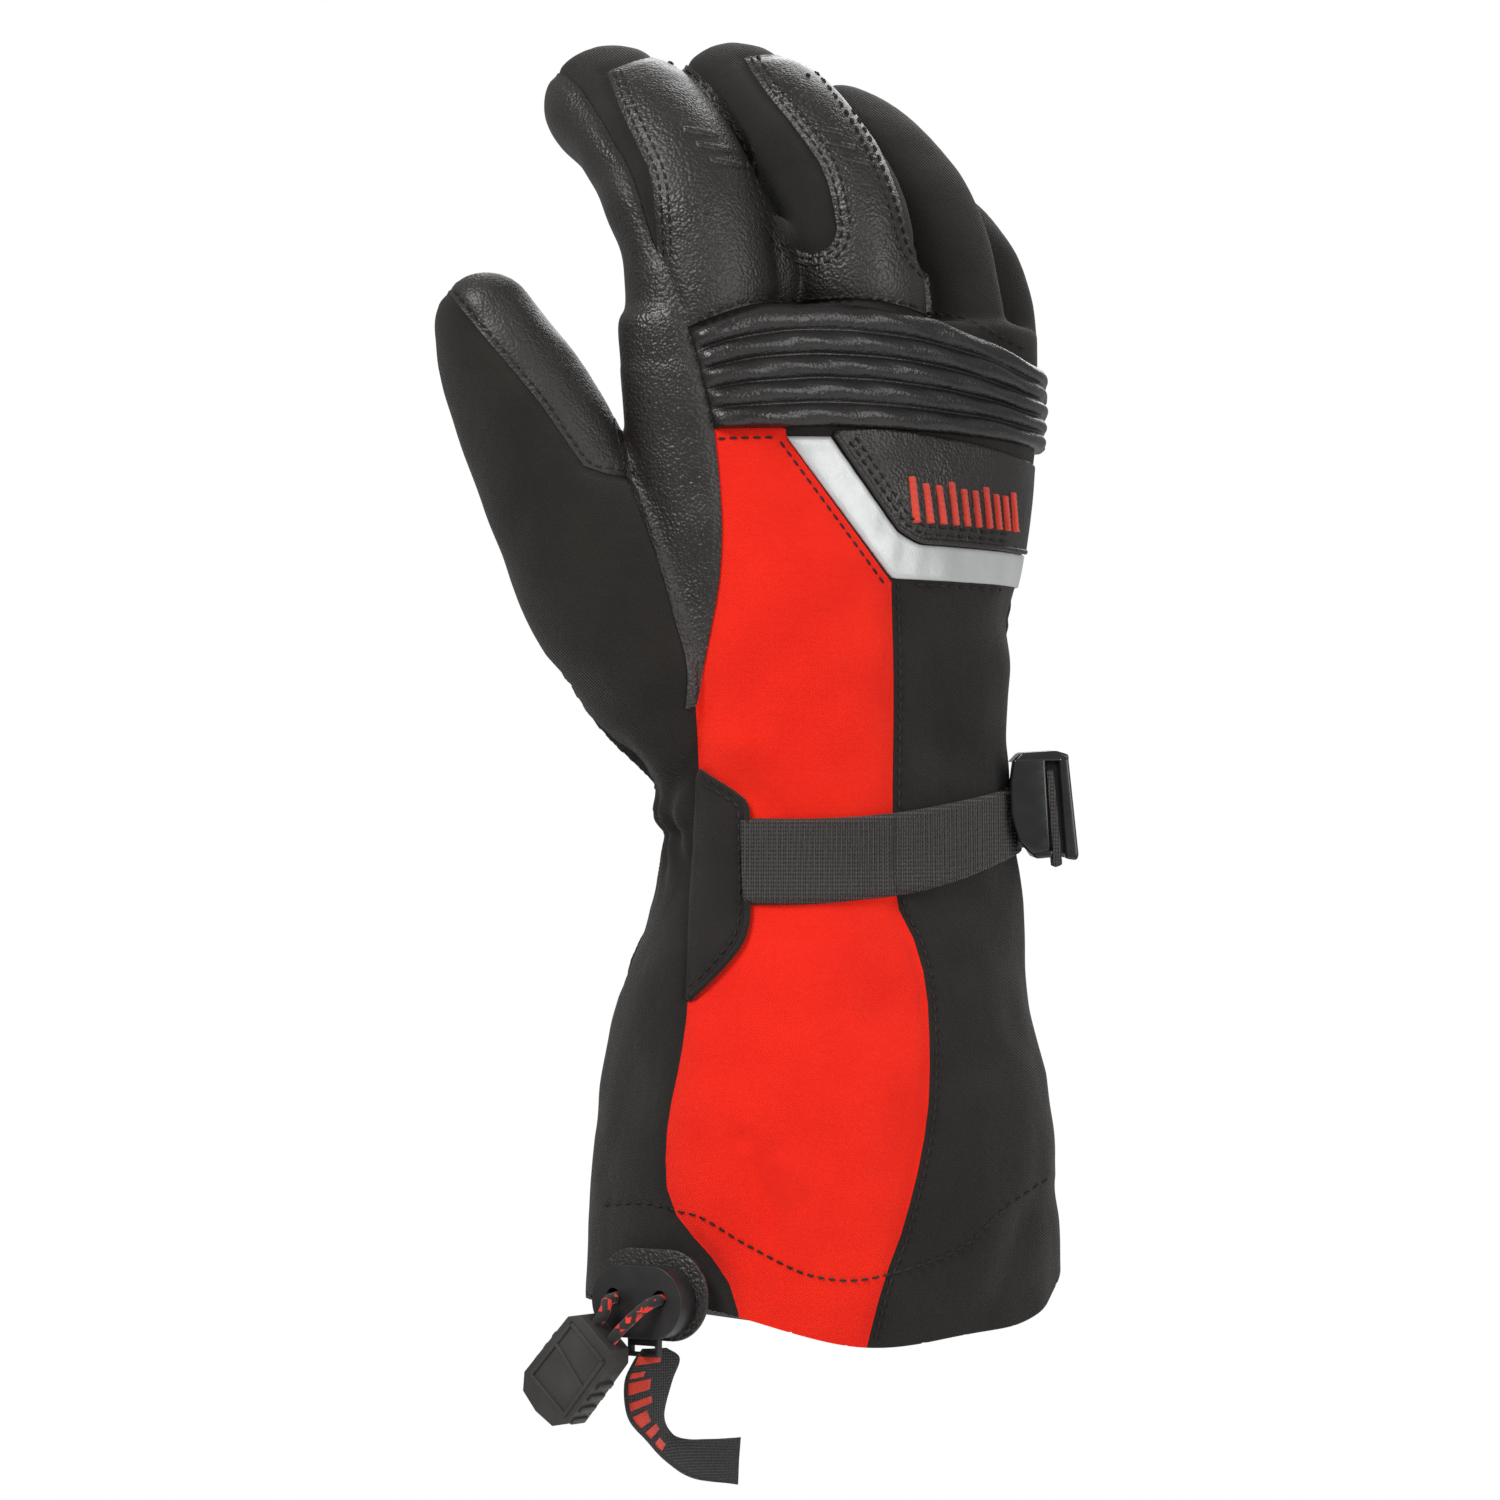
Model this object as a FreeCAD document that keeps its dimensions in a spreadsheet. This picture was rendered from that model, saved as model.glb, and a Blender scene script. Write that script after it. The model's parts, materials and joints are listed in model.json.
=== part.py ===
import FreeCAD, Part
import math
import os
from FreeCAD import Placement, Rotation, Vector

# Insulated gauntlet ski glove for the right hand, in millimetres.
# +Z runs from the cuff's hem to the fingertips, the back of the hand faces -Y, the palm faces +Y
# and the thumb is on the -X side. The origin is the centre of the hand opening in the cuff.
#
# Body walls are lofts through ellipses that stand at named stations along Z. Inner layers are the
# same lofts, inset by the thickness of the layers outside them, and panels are cut from a layer by
# prisms whose outlines are drawn on the front plane: the upright plane through the Z axis that is
# turned 35 degrees towards the thumb. Its own axes are "across", to the right, and "up".

doc = FreeCAD.newDocument("SkiGlove")
sheet = doc.addObject("Spreadsheet::Sheet", "Sizes")
next_row = 1


def size(alias, value):
    """Put one driving dimension in the spreadsheet."""
    global next_row
    cell = f"B{next_row}"
    sheet.set(f"A{next_row}", alias)
    sheet.set(cell, str(value))
    sheet.setAlias(cell, alias)
    next_row += 1


def value(alias):
    """Read a driving dimension back as a plain number."""
    return float(sheet.get(alias))


# ---------------------------------------------------------------- driving dimensions

# station: level, shift along X, shift along Y, half width along X, half depth along Y
STATIONS = {
    "hem": (-10, 0, 0, 69, 56),
    "skirt": (37, 0, 0, 67, 54),
    "flare": (57, -0.5, 0, 65, 52),
    "forearm": (77, 0, 0, 61.5, 47),
    "taper": (93, 1.5, 0, 59, 44),
    "neck": (106, 5, 0, 54.5, 40),
    "strap": (118, 6.5, 0, 51.5, 36.5),
    "wrist": (132, 3.5, 0, 52, 36),
    "heel": (150, 1.5, 1, 52.5, 36.5),
    "ball": (175, 2.5, 1.5, 55.5, 36),
    "palm": (200, 3.5, 2, 59, 34),
    "ribs": (230, 4, 2, 63, 31.5),
    "knuckle": (250, 4, 2, 66, 29.5),
    "roots": (284, 3.5, 3, 67, 27),
}
CUFF = ("hem", "skirt", "flare", "forearm", "taper", "neck", "strap", "wrist")
HAND = ("heel", "ball", "palm", "ribs", "knuckle", "roots")
for station, numbers in STATIONS.items():
    for suffix, number in zip(("level", "shiftx", "shifty", "wide", "deep"), numbers):
        size(f"{station}_{suffix}", number)

# finger: start of its bend x, y, z, radius at the root and at the tip, bend radius, bend angle, lean of
# the tip towards the thumb, and how far along Z above the bend's start its root hinge is
FINGERS = {
    "index": (-43, 2, 266, 21, 16.8, 62, 68, 0, 18),
    "middle": (-1.5, -10, 268, 18.5, 16.3, 62, 70, 6, 16),
    "ring": (34.5, -3, 262, 17, 15.7, 60, 70, 8.5, 16),
    "little": (63.5, 12, 254, 14.5, 13.6, 50, 68, 6, 12),
}
for finger, numbers in FINGERS.items():
    for suffix, number in zip(("x", "y", "z", "root", "tip", "bend", "curl", "lean", "lift"), numbers):
        size(f"{finger}_{suffix}", number)

# thumb: stations along its centre line, each x, y, z and radius
THUMB = ((-42, 8, 158, 22), (-57.5, 15, 186, 22.5), (-68, 23, 213, 21.5), (-76, 30, 237, 19.5),
         (-82.5, 35, 254, 16.5), (-86, 38, 264, 12.5), (-88, 39.5, 270, 7.5), (-89, 40.3, 273, 3))
for number, (x, y, z, radius) in enumerate(THUMB):
    size(f"thumb_x_{number}", x)
    size(f"thumb_y_{number}", y)
    size(f"thumb_z_{number}", z)
    size(f"thumb_radius_{number}", radius)

size("shell_thick", 1.6)
size("insulation_thick", 5)
size("lining_thick", 1.4)
size("leather_thick", 1.2)
size("trim_thick", 0.8)
size("layer_gap", 0.05)
size("front_turn", 35)
size("prism_reach", 110)
size("hem_fold", 24)
size("finger_gap", 10)
size("thumb_gap", 8)
size("gusset_play", 0.2)
size("thumb_play", 0.3)
size("wrist_band_low", 119)
size("wrist_band_high", 128)
size("rib_rise", 2.6)
size("rib_pitch", 6.2)
size("strap_thick", 1.8)
size("cord_radius", 1.5)
doc.recompute()

SHELL = "Sizes.shell_thick"
LINED = "(Sizes.shell_thick + Sizes.insulation_thick)"
HOLLOW = "(Sizes.shell_thick + Sizes.insulation_thick + Sizes.lining_thick)"
OVER = "(0 - Sizes.leather_thick)"
# the same insets as plain numbers, for the places where a point is reckoned and not bound
DEPTHS = {
    "0": 0,
    SHELL: value("shell_thick"),
    HOLLOW: value("shell_thick") + value("insulation_thick") + value("lining_thick"),
    OVER: -value("leather_thick"),
}

turn = math.radians(value("front_turn"))
ACROSS = Vector(math.cos(turn), -math.sin(turn), 0)
TOWARDS = Vector(-math.sin(turn), -math.cos(turn), 0)
UP = Vector(0, 0, 1)
nodes = {}


# ---------------------------------------------------------------- building blocks

def node(name, thing):
    """Name a finished object as a sub-part: its label names its file."""
    thing.Label = name
    nodes[name] = thing
    return thing


def ellipse_at(name, station, inset):
    """One horizontal section of a body wall, inset by an expression."""
    ring = doc.addObject("Part::Ellipse", name)
    ring.MajorRadius = value(f"{station}_wide")
    ring.MinorRadius = value(f"{station}_deep")
    ring.setExpression("MajorRadius", f"Sizes.{station}_wide - {inset}")
    ring.setExpression("MinorRadius", f"Sizes.{station}_deep - {inset}")
    ring.setExpression("Placement.Base.x", f"Sizes.{station}_shiftx")
    ring.setExpression("Placement.Base.y", f"Sizes.{station}_shifty")
    ring.setExpression("Placement.Base.z", f"Sizes.{station}_level")
    return ring


def loft(name, sections):
    body = doc.addObject("Part::Loft", name)
    body.Sections = sections
    body.Ruled = True
    body.Solid = True
    return body


def wall(name, stations, inset):
    """The solid inside a body wall, inset by an expression."""
    return loft(name, [ellipse_at(f"{name}_{station}", station, inset) for station in stations])


def cut(name, base, *tools):
    """The base without every tool, cut away one after another."""
    piece = base
    for number, tool in enumerate(tools):
        last = number == len(tools) - 1
        step = doc.addObject("Part::Cut", name if last else f"{name}_step_{number}")
        step.Base = piece
        step.Tool = tool
        piece = step
    return piece


def common(name, base, tool):
    piece = doc.addObject("Part::Common", name)
    piece.Base = base
    piece.Tool = tool
    return piece


def fuse(name, *shapes):
    piece = doc.addObject("Part::MultiFuse", name)
    piece.Shapes = list(shapes)
    return piece


def prism(name, points, direction, reach="Sizes.prism_reach"):
    """A prism from a closed outline of points, pushed along a direction."""
    outline = doc.addObject("Part::Polygon", f"{name}_outline")
    outline.Nodes = points
    outline.Close = True
    block = doc.addObject("Part::Extrusion", name)
    block.Base = outline
    block.DirMode = "Custom"
    block.Dir = direction
    block.setExpression("LengthFwd", reach)
    block.Solid = True
    return block


def front_point(across, up, towards=0.0):
    """A point of the front plane, or one that stands in front of it."""
    return ACROSS * across + UP * up + TOWARDS * towards


def front_prism(name, outline):
    """A prism from an outline on the front plane, reaching out through the glove's front."""
    return prism(name, [front_point(across, up) for across, up in outline], TOWARDS)


def box(name, low, high):
    block = doc.addObject("Part::Box", name)
    block.Length = high[0] - low[0]
    block.Width = high[1] - low[1]
    block.Height = high[2] - low[2]
    block.Placement.Base = Vector(*low)
    return block


def cylinder(name, radius, length, base, axis=UP):
    rod = doc.addObject("Part::Cylinder", name)
    rod.Radius = radius
    rod.Height = length
    rod.Placement = Placement(base, Rotation(UP, axis))
    return rod


def surface_frame(station, across, level):
    """The placement of a flat piece that lies on a wall's front: its own Z points out of the wall."""
    wide = value(f"{station}_wide")
    deep = value(f"{station}_deep")
    half = math.hypot(wide * math.cos(turn), deep * math.sin(turn))
    lead = math.atan2(deep * math.sin(turn), wide * math.cos(turn))
    centre = Vector(value(f"{station}_shiftx"), value(f"{station}_shifty"), 0)
    ratio = max(-1.0, min(1.0, (across - centre.dot(ACROSS)) / half))
    angle = -math.acos(ratio) - lead
    point = centre + Vector(wide * math.cos(angle), deep * math.sin(angle), level)
    out = Vector(math.cos(angle) / wide, math.sin(angle) / deep, 0).normalize()
    right = UP.cross(out)
    return Placement(point, Rotation(right, UP, out, "ZXY"))


# ---------------------------------------------------------------- cuff walls

cuff_outer = wall("cuff_outer", CUFF, "0")
cuff_mid = wall("cuff_mid", CUFF, SHELL)
cuff_lined = wall("cuff_lined", CUFF, LINED)
cuff_inner = wall("cuff_inner", CUFF, HOLLOW)

# the hem is cut in an arc, lowest at the middle of the back
HEM_SIDE_LEFT = (-80, 10)
HEM_MIDDLE = (-4, -7)
HEM_SIDE_RIGHT = (80, 19)


def hem_cutter(name):
    """Everything below the hem's arc."""
    low = -30
    left = Vector(HEM_SIDE_LEFT[0], -90, HEM_SIDE_LEFT[1])
    middle = Vector(HEM_MIDDLE[0], -90, HEM_MIDDLE[1])
    right = Vector(HEM_SIDE_RIGHT[0], -90, HEM_SIDE_RIGHT[1])
    corners = [right, Vector(right.x, -90, low), Vector(left.x, -90, low), left]
    edges = [Part.Arc(left, middle, right).toShape()]
    edges += [Part.LineSegment(a, b).toShape() for a, b in zip(corners, corners[1:])]
    cutter = doc.addObject("Part::Feature", name)
    cutter.Shape = Part.Face(Part.Wire(edges)).extrude(Vector(0, 180, 0))
    return cutter


below_hem = hem_cutter("below_hem")
cuff_shell = cut("cuff_shell", cuff_outer, cuff_mid, below_hem)

RED_LEFT_EDGE = ((-34, 134), (-36, 118), (-36, 104), (-37, 80), (-39, 66), (-42, 51), (-42.5, 37),
                 (-41, 29), (-35.5, 21.5), (-29, 14), (-24, 6), (-19, -14))
RED_RIGHT_SEAM = ((7, -14), (14, 8), (19, 21.5), (24, 40), (26.5, 56), (26.7, 76), (26, 86),
                  (23.2, 97.5), (18, 109), (17.3, 134))
FAR_RIGHT = ((90, 134), (90, -14))
red_prism = front_prism("red_prism", RED_LEFT_EDGE + RED_RIGHT_SEAM)
black_prism = front_prism("black_prism", RED_RIGHT_SEAM + FAR_RIGHT)
thumb_side_prism = front_prism("thumb_side_prism", ((-90, 134),) + RED_LEFT_EDGE + ((-90, -14),))
node("cuff_back_red", common("cuff_back_red", cuff_shell, red_prism))
node("cuff_back_black", common("cuff_back_black", cuff_shell, black_prism))
node("cuff_thumb_side", common("cuff_thumb_side", cuff_shell, thumb_side_prism))
palm_half = prism("palm_half", [front_point(-90, -14), front_point(90, -14), front_point(90, 300),
                                front_point(-90, 300)], -TOWARDS)
node("cuff_palm", common("cuff_palm", cuff_shell, palm_half))

# ---------------------------------------------------------------- cuff inside

above_fold = box("above_fold", (-90, -90, value("hem_fold")), (90, 90, 140))
padding = cut("padding", cuff_mid, cuff_lined)
padding_above = common("padding_above", padding, above_fold)
shirring = cut("shirring", cuff_mid, wall("shirring_inside", CUFF, f"({SHELL} + 1)"))
elastic_band = box("elastic_band", (-90, -90, value("wrist_band_low")), (90, 90, value("wrist_band_high")))
gathered = common("gathered", elastic_band, palm_half)
node("wrist_elastic", common("wrist_elastic", shirring, gathered))
node("cuff_insulation", cut("cuff_insulation", padding_above, gathered))
lining = cut("lining", cuff_lined, cuff_inner)
node("cuff_lining", cut("cuff_lining", lining, hem_cutter("lining_hem")))

# the hem is turned up inside the shell, and the cord runs in its fold
CORD_LEVEL = 14
cord_spine = doc.addObject("Part::Ellipse", "cord_spine")
cord_spine.setExpression("MajorRadius", f"Sizes.hem_wide - {SHELL} - Sizes.insulation_thick / 2")
cord_spine.setExpression("MinorRadius", f"Sizes.hem_deep - {SHELL} - Sizes.insulation_thick / 2")
cord_spine.Angle1 = 252
cord_spine.Angle2 = 202
cord_spine.Placement.Base.z = CORD_LEVEL


def ring_tube(name, spine, radius):
    """A round tube along part of an ellipse."""
    start = spine.Shape.Edges[0].valueAt(spine.Shape.Edges[0].FirstParameter)
    heading = spine.Shape.Edges[0].tangentAt(spine.Shape.Edges[0].FirstParameter)
    mouth = doc.addObject("Part::Circle", f"{name}_mouth")
    mouth.Placement = Placement(start, Rotation(UP, heading))
    mouth.setExpression("Radius", radius)
    tube = doc.addObject("Part::Sweep", name)
    tube.Sections = [mouth]
    tube.Spine = (spine, ["Edge1"])
    tube.Solid = True
    return tube


doc.recompute()
drawcord = ring_tube("hem_drawcord", cord_spine, "Sizes.cord_radius")
channel = ring_tube("cord_channel", cord_spine, "Sizes.cord_radius + Sizes.layer_gap")
node("hem_drawcord", drawcord)
below_fold = box("below_fold", (-90, -90, -20), (90, 90, value("hem_fold")))
fold = common("fold", padding, below_fold)
node("hem_facing", cut("hem_facing", fold, hem_cutter("facing_hem"), channel))

# ---------------------------------------------------------------- hand walls

hand_outer = wall("hand_outer", HAND, "0")
hand_mid = wall("hand_mid", HAND, SHELL)
hand_lined = wall("hand_lined", HAND, LINED)
hand_inner = wall("hand_inner", HAND, HOLLOW)

# the top steps down under each finger, and the steps lie in the crotches
ROOT_EDGES = (-95, -21.5, 17, 48.5, 95)


def above_roots(name):
    """Four blocks, one above each finger's root plane."""
    blocks = []
    for finger, left, right in zip(FINGERS, ROOT_EDGES, ROOT_EDGES[1:]):
        base = value(f"{finger}_z") + value(f"{finger}_lift") - value("finger_gap") / 2
        blocks.append(box(f"{name}_{finger}", (left, -90, base), (right, 90, 300)))
    return blocks


def thumb_tube(name, inset, spare=0):
    """The thumb's solid, inset by an expression; inner layers stop a few stations before the tip."""
    rings = []
    points = [Vector(*station[:3]) for station in THUMB]
    for number in range(len(THUMB) - spare):
        before = points[max(number - 1, 0)]
        after = points[min(number + 1, len(points) - 1)]
        ring = doc.addObject("Part::Circle", f"{name}_{number}")
        ring.Placement.Rotation = Rotation(UP, after - before)
        for letter in "xyz":
            ring.setExpression(f"Placement.Base.{letter}", f"Sizes.thumb_{letter}_{number}")
        ring.setExpression("Radius", f"Sizes.thumb_radius_{number} - {inset}")
        rings.append(ring)
    return loft(name, rings)


thumb_outer = thumb_tube("thumb_outer", "0")
hand_shell = cut("hand_shell", hand_outer, hand_mid, *above_roots("shell_roots"))

# the back of the hand is pieced from the index side to the little-finger side
SIDE_TOP = ((-49, 292), (-47, 285), (-40, 270), (-37, 260))
SIDE_RIBS = ((-37, 260), (-33.5, 249), (-30, 233))
SIDE_LOW = ((-30, 233), (-28, 211), (-28.3, 195), (-30.5, 182), (-33, 168), (-35, 160))
KNUCKLE_TOP = ((-37, 260), (-12, 267.5), (15, 268), (28.6, 263.3), (43, 260), (57, 254), (90, 254))
KNUCKLE_FOOT = ((-30, 233), (-11, 233.6), (2, 234), (40, 232), (62, 231), (90, 231))
RED_BLACK_SEAM = ((-11, 233.6), (-11, 230.8), (17, 193), (17.3, 140))
hand_panels = {
    "index_side_leather": ((-90, 292),) + SIDE_TOP + SIDE_RIBS[1:] + SIDE_LOW[1:] + ((-90, 160),),
    "hand_back_leather": SIDE_TOP + KNUCKLE_TOP[1:4] + ((28.6, 292),),
    "ring_side_panel": ((28.6, 292),) + KNUCKLE_TOP[3:] + ((90, 292),),
    "knuckle_panel": KNUCKLE_TOP + KNUCKLE_FOOT[::-1] + (SIDE_RIBS[1],),
    "hand_back_red": KNUCKLE_FOOT[:1] + RED_BLACK_SEAM + ((-90, 140), (-90, 160)) + SIDE_LOW[:0:-1],
    "hand_back_black": KNUCKLE_FOOT[1:] + ((90, 140),) + RED_BLACK_SEAM[:0:-1],
}
BESIDE_THUMB = ("index_side_leather", "hand_back_red")
whole_palm = common("whole_palm", hand_shell, palm_half)
node("palm_leather", cut("palm_leather", whole_palm, thumb_outer))
for name, outline in hand_panels.items():
    panel = common(f"{name}_whole", hand_shell, front_prism(f"{name}_prism", outline))
    if name in BESIDE_THUMB:
        panel = cut(name, panel, thumb_outer)
    node(name, panel)


def raised(name, thickness, base, stations):
    """A layer that lies on the outside of a wall."""
    outside = wall(f"{name}_outside", stations, f"(0 - {thickness})")
    return cut(name, outside, base)


# five padded ribs over the knuckles
rib_zone = front_prism("rib_zone", ((-31, 300), (55, 300), (55, 200), (-31, 200)))
ribs = []
for number in range(5):
    level = 236 + number * value("rib_pitch")
    sections = []
    for place, (drop, rise) in enumerate(((-2.9, 0), (0, 1), (2.9, 0))):
        ring = doc.addObject("Part::Ellipse", f"rib_{number}_{place}")
        ring.MajorRadius = value("ribs_wide") + 5
        ring.setExpression("MajorRadius", f"Sizes.ribs_wide + 1.5 + Sizes.rib_rise * {rise}")
        ring.setExpression("MinorRadius", f"Sizes.ribs_deep + 0.1 + Sizes.rib_rise * {rise}")
        ring.setExpression("Placement.Base.x", "Sizes.ribs_shiftx")
        ring.setExpression("Placement.Base.y", "Sizes.ribs_shifty")
        ring.Placement.Base.z = level + drop
        sections.append(ring)
    disc = loft(f"rib_disc_{number}", sections)
    rolled = cut(f"rib_ring_{number}", disc, hand_outer)
    ribs.append(common(f"rib_{number}", rolled, rib_zone))
rib_group = doc.addObject("Part::Compound", "knuckle_ribs")
rib_group.Links = ribs
node("knuckle_ribs", rib_group)

# trim laid on the back of the hand: a reflective band and a leather badge with a piped edge
trim_layer = raised("trim_layer", "Sizes.trim_thick", hand_outer, HAND)
badge_layer = raised("badge_layer", "Sizes.leather_thick", hand_outer, HAND)
BADGE = ((2, 230), (20, 199.5), (52, 200.5), (56, 222), (30, 230.5))
BAND = ((-10, 230.5), (0, 230.5), (18.5, 197.8), (53.5, 198.8), (53.5, 192), (18, 193.5))
band_prism = front_prism("band_prism", BAND)
badge_prism = front_prism("badge_prism", BADGE)
node("reflective_trim", common("reflective_trim", trim_layer, band_prism))
node("badge_patch", common("badge_patch", badge_layer, badge_prism))

# ---------------------------------------------------------------- hand inside

hand_padding = cut("hand_padding", hand_mid, hand_lined, *above_roots("padding_roots"))
hand_liner = cut("hand_liner", hand_lined, hand_inner, *above_roots("liner_roots"))
node("hand_insulation", cut("hand_insulation", hand_padding, thumb_tube("padding_way", "Sizes.thumb_play")))
node("hand_lining", cut("hand_lining", hand_liner, thumb_tube("lining_way", "Sizes.thumb_play")))

# ---------------------------------------------------------------- fingers

TIP_SHAPE = ((0.5, 0.87), (0.82, 0.57), (0.97, 0.24))


def finger_tube(name, finger, inset):
    """A finger's solid: rings along its bend, then a round tip."""
    bend = value(f"{finger}_bend")
    curl = value(f"{finger}_curl")
    steps = 5
    rings = []
    for number in range(steps + 1):
        share = number / steps
        begin = math.degrees(math.asin((value(f"{finger}_lift") + value("finger_gap") / 2) / bend))
        angle = begin + (curl - begin) * share
        ring = doc.addObject("Part::Circle", f"{name}_{number}")
        ring.Placement.Rotation = Rotation(Vector(1, 0, 0), 0 if number == 0 else -angle)
        ring.setExpression("Placement.Base.x", f"Sizes.{finger}_x - Sizes.{finger}_lean * {share ** 1.5}")
        reach = f"Sizes.{finger}_bend * (1 - cos({angle}))"
        ring.setExpression("Placement.Base.y", f"Sizes.{finger}_y + {reach}")
        ring.setExpression("Placement.Base.z", f"Sizes.{finger}_z + Sizes.{finger}_bend * sin({angle})")
        taper = f"(Sizes.{finger}_tip - Sizes.{finger}_root) * {share}"
        ring.setExpression("Radius", f"Sizes.{finger}_root + {taper} - {inset}")
        rings.append(ring)
    heading = Vector(0, math.sin(math.radians(curl)), math.cos(math.radians(curl)))
    end = Vector(value(f"{finger}_x") - value(f"{finger}_lean"),
                 value(f"{finger}_y") + bend * (1 - math.cos(math.radians(curl))),
                 value(f"{finger}_z") + bend * math.sin(math.radians(curl)))
    tip = value(f"{finger}_tip") - DEPTHS[inset]
    for number, (reach, share) in enumerate(TIP_SHAPE):
        ring = doc.addObject("Part::Circle", f"{name}_tip_{number}")
        ring.Placement = Placement(end + heading * (tip * reach), Rotation(Vector(1, 0, 0), -curl))
        ring.setExpression("Radius", f"(Sizes.{finger}_tip - {inset}) * {share}")
        rings.append(ring)
    return loft(name, rings)


def back_side(name, finger):
    """Everything on the back side of a finger's centre line."""
    bend = value(f"{finger}_bend")
    curl = math.radians(value(f"{finger}_curl"))
    start = Vector(value(f"{finger}_x") - 40, value(f"{finger}_y"), value(f"{finger}_z"))
    points = [start + Vector(0, 0, -20)]
    for number in range(9):
        angle = curl * number / 8
        points.append(start + Vector(0, bend * (1 - math.cos(angle)), bend * math.sin(angle)))
    points.append(points[-1] + Vector(0, math.sin(curl), math.cos(curl)) * 40)
    points.append(Vector(start.x, points[-1].y, start.z + 140))
    points.append(Vector(start.x, start.y - 60, start.z + 140))
    points.append(Vector(start.x, start.y - 60, start.z - 20))
    return prism(name, points, Vector(1, 0, 0), "80")


STRIPPED = ("index", "middle")
for finger in FINGERS:
    outer = finger_tube(f"{finger}_outer", finger, "0")
    mid = finger_tube(f"{finger}_mid", finger, SHELL)
    inner = finger_tube(f"{finger}_inner", finger, HOLLOW)
    tube = cut(f"{finger}_tube", outer, mid)
    side = back_side(f"{finger}_side", finger)
    node(f"{finger}_back", common(f"{finger}_back", tube, side))
    node(f"{finger}_palm", cut(f"{finger}_palm", tube, side))
    node(f"{finger}_liner", cut(f"{finger}_liner", mid, inner))
    if finger in STRIPPED:
        raised_tube = cut(f"{finger}_raised", finger_tube(f"{finger}_over", finger, OVER), outer)
        half = value(f"{finger}_root") * 0.72
        middle_x = value(f"{finger}_x") - value(f"{finger}_lean") / 2
        low_z = value(f"{finger}_z")
        slab = box(f"{finger}_slab", (middle_x - half, -70, low_z),
                   (middle_x + half, value(f"{finger}_y") + 30, low_z + 110))
        strip = common(f"{finger}_strip_band", raised_tube, slab)
        node(f"{finger}_strip", common(f"{finger}_strip", strip, side))

    # the soft gusset between hand and finger is a short tube
    gusset_outer = doc.addObject("Part::Cylinder", f"{finger}_gusset_outer")
    gusset_inner = doc.addObject("Part::Cylinder", f"{finger}_gusset_inner")
    hinge_angle = math.degrees(math.asin(value(f"{finger}_lift") / value(f"{finger}_bend")))
    hinge_reach = f"Sizes.{finger}_bend * (1 - cos({hinge_angle}))"
    hinge_level = f"Sizes.{finger}_z + Sizes.{finger}_lift"
    for tube_part, inset in ((gusset_outer, "0.6"), (gusset_inner, HOLLOW)):
        tube_part.setExpression("Radius", f"Sizes.{finger}_root - {inset}")
        tube_part.setExpression("Height", "Sizes.finger_gap - 2 * Sizes.gusset_play")
        tube_part.setExpression("Placement.Base.x", f"Sizes.{finger}_x")
        tube_part.setExpression("Placement.Base.y", f"Sizes.{finger}_y + {hinge_reach}")
        tube_part.setExpression("Placement.Base.z", f"{hinge_level} - Sizes.finger_gap / 2 + Sizes.gusset_play")
    node(f"{finger}_gusset", cut(f"{finger}_gusset", gusset_outer, gusset_inner))

# ---------------------------------------------------------------- thumb

clear_of_hand = wall("clear_of_hand", HAND, "(0 - Sizes.thumb_gap)")
below_thumb = box("below_thumb", (-120, -90, 100), (0, 90, 158))
thumb_mid = thumb_tube("thumb_mid", SHELL, 1)
thumb_inner = thumb_tube("thumb_inner", HOLLOW, 2)
thumb_shell = cut("thumb_shell", thumb_outer, thumb_mid, clear_of_hand, below_thumb)
THUMB_SEAM = ((-50, 215), (-62, 229), (-68, 237), (-77, 252), (-92, 262), (-104, 269), (-110, 300),
              (0, 300), (0, 215))
thumb_leather = prism("thumb_leather", [front_point(across, up, -80) for across, up in THUMB_SEAM],
                      TOWARDS, "160")
thumb_rear = prism("thumb_rear", [front_point(-130, 100, -13), front_point(0, 100, -13),
                                  front_point(0, 300, -13), front_point(-130, 300, -13)], -TOWARDS)
thumb_palm_side = fuse("thumb_palm_side", thumb_leather, thumb_rear)
node("thumb_palm", common("thumb_palm", thumb_shell, thumb_palm_side))
node("thumb_back", cut("thumb_back", thumb_shell, thumb_palm_side))
node("thumb_liner", cut("thumb_liner", thumb_mid, thumb_inner, clear_of_hand, below_thumb))
web_outer = wall("web_outer", HAND, "(Sizes.gusset_play - Sizes.thumb_gap)")
web_inner = wall("web_inner", HAND, "(0 - Sizes.gusset_play)")
web_ring = cut("web_ring", web_outer, web_inner)
web_over = thumb_tube("web_over", "Sizes.gusset_play", 1)
web_tube = cut("web_tube", web_over, thumb_tube("web_under", HOLLOW, 2), below_thumb)
node("thumb_gusset", common("thumb_gusset", web_tube, web_ring))

# ---------------------------------------------------------------- wrist gusset

gusset_levels = (("wrist", 0.3), ("heel", -0.3))


def gusset_wall(name, inset):
    rings = []
    for station, shift in gusset_levels:
        ring = ellipse_at(f"{name}_{station}", station, inset)
        ring.setExpression("Placement.Base.z", f"Sizes.{station}_level + {shift}")
        rings.append(ring)
    return loft(name, rings)


node("wrist_gusset", cut("wrist_gusset", gusset_wall("wrist_gusset_outer", "0.3"),
                         gusset_wall("wrist_gusset_inner", HOLLOW)))

# ---------------------------------------------------------------- wrist strap and buckle

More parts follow.
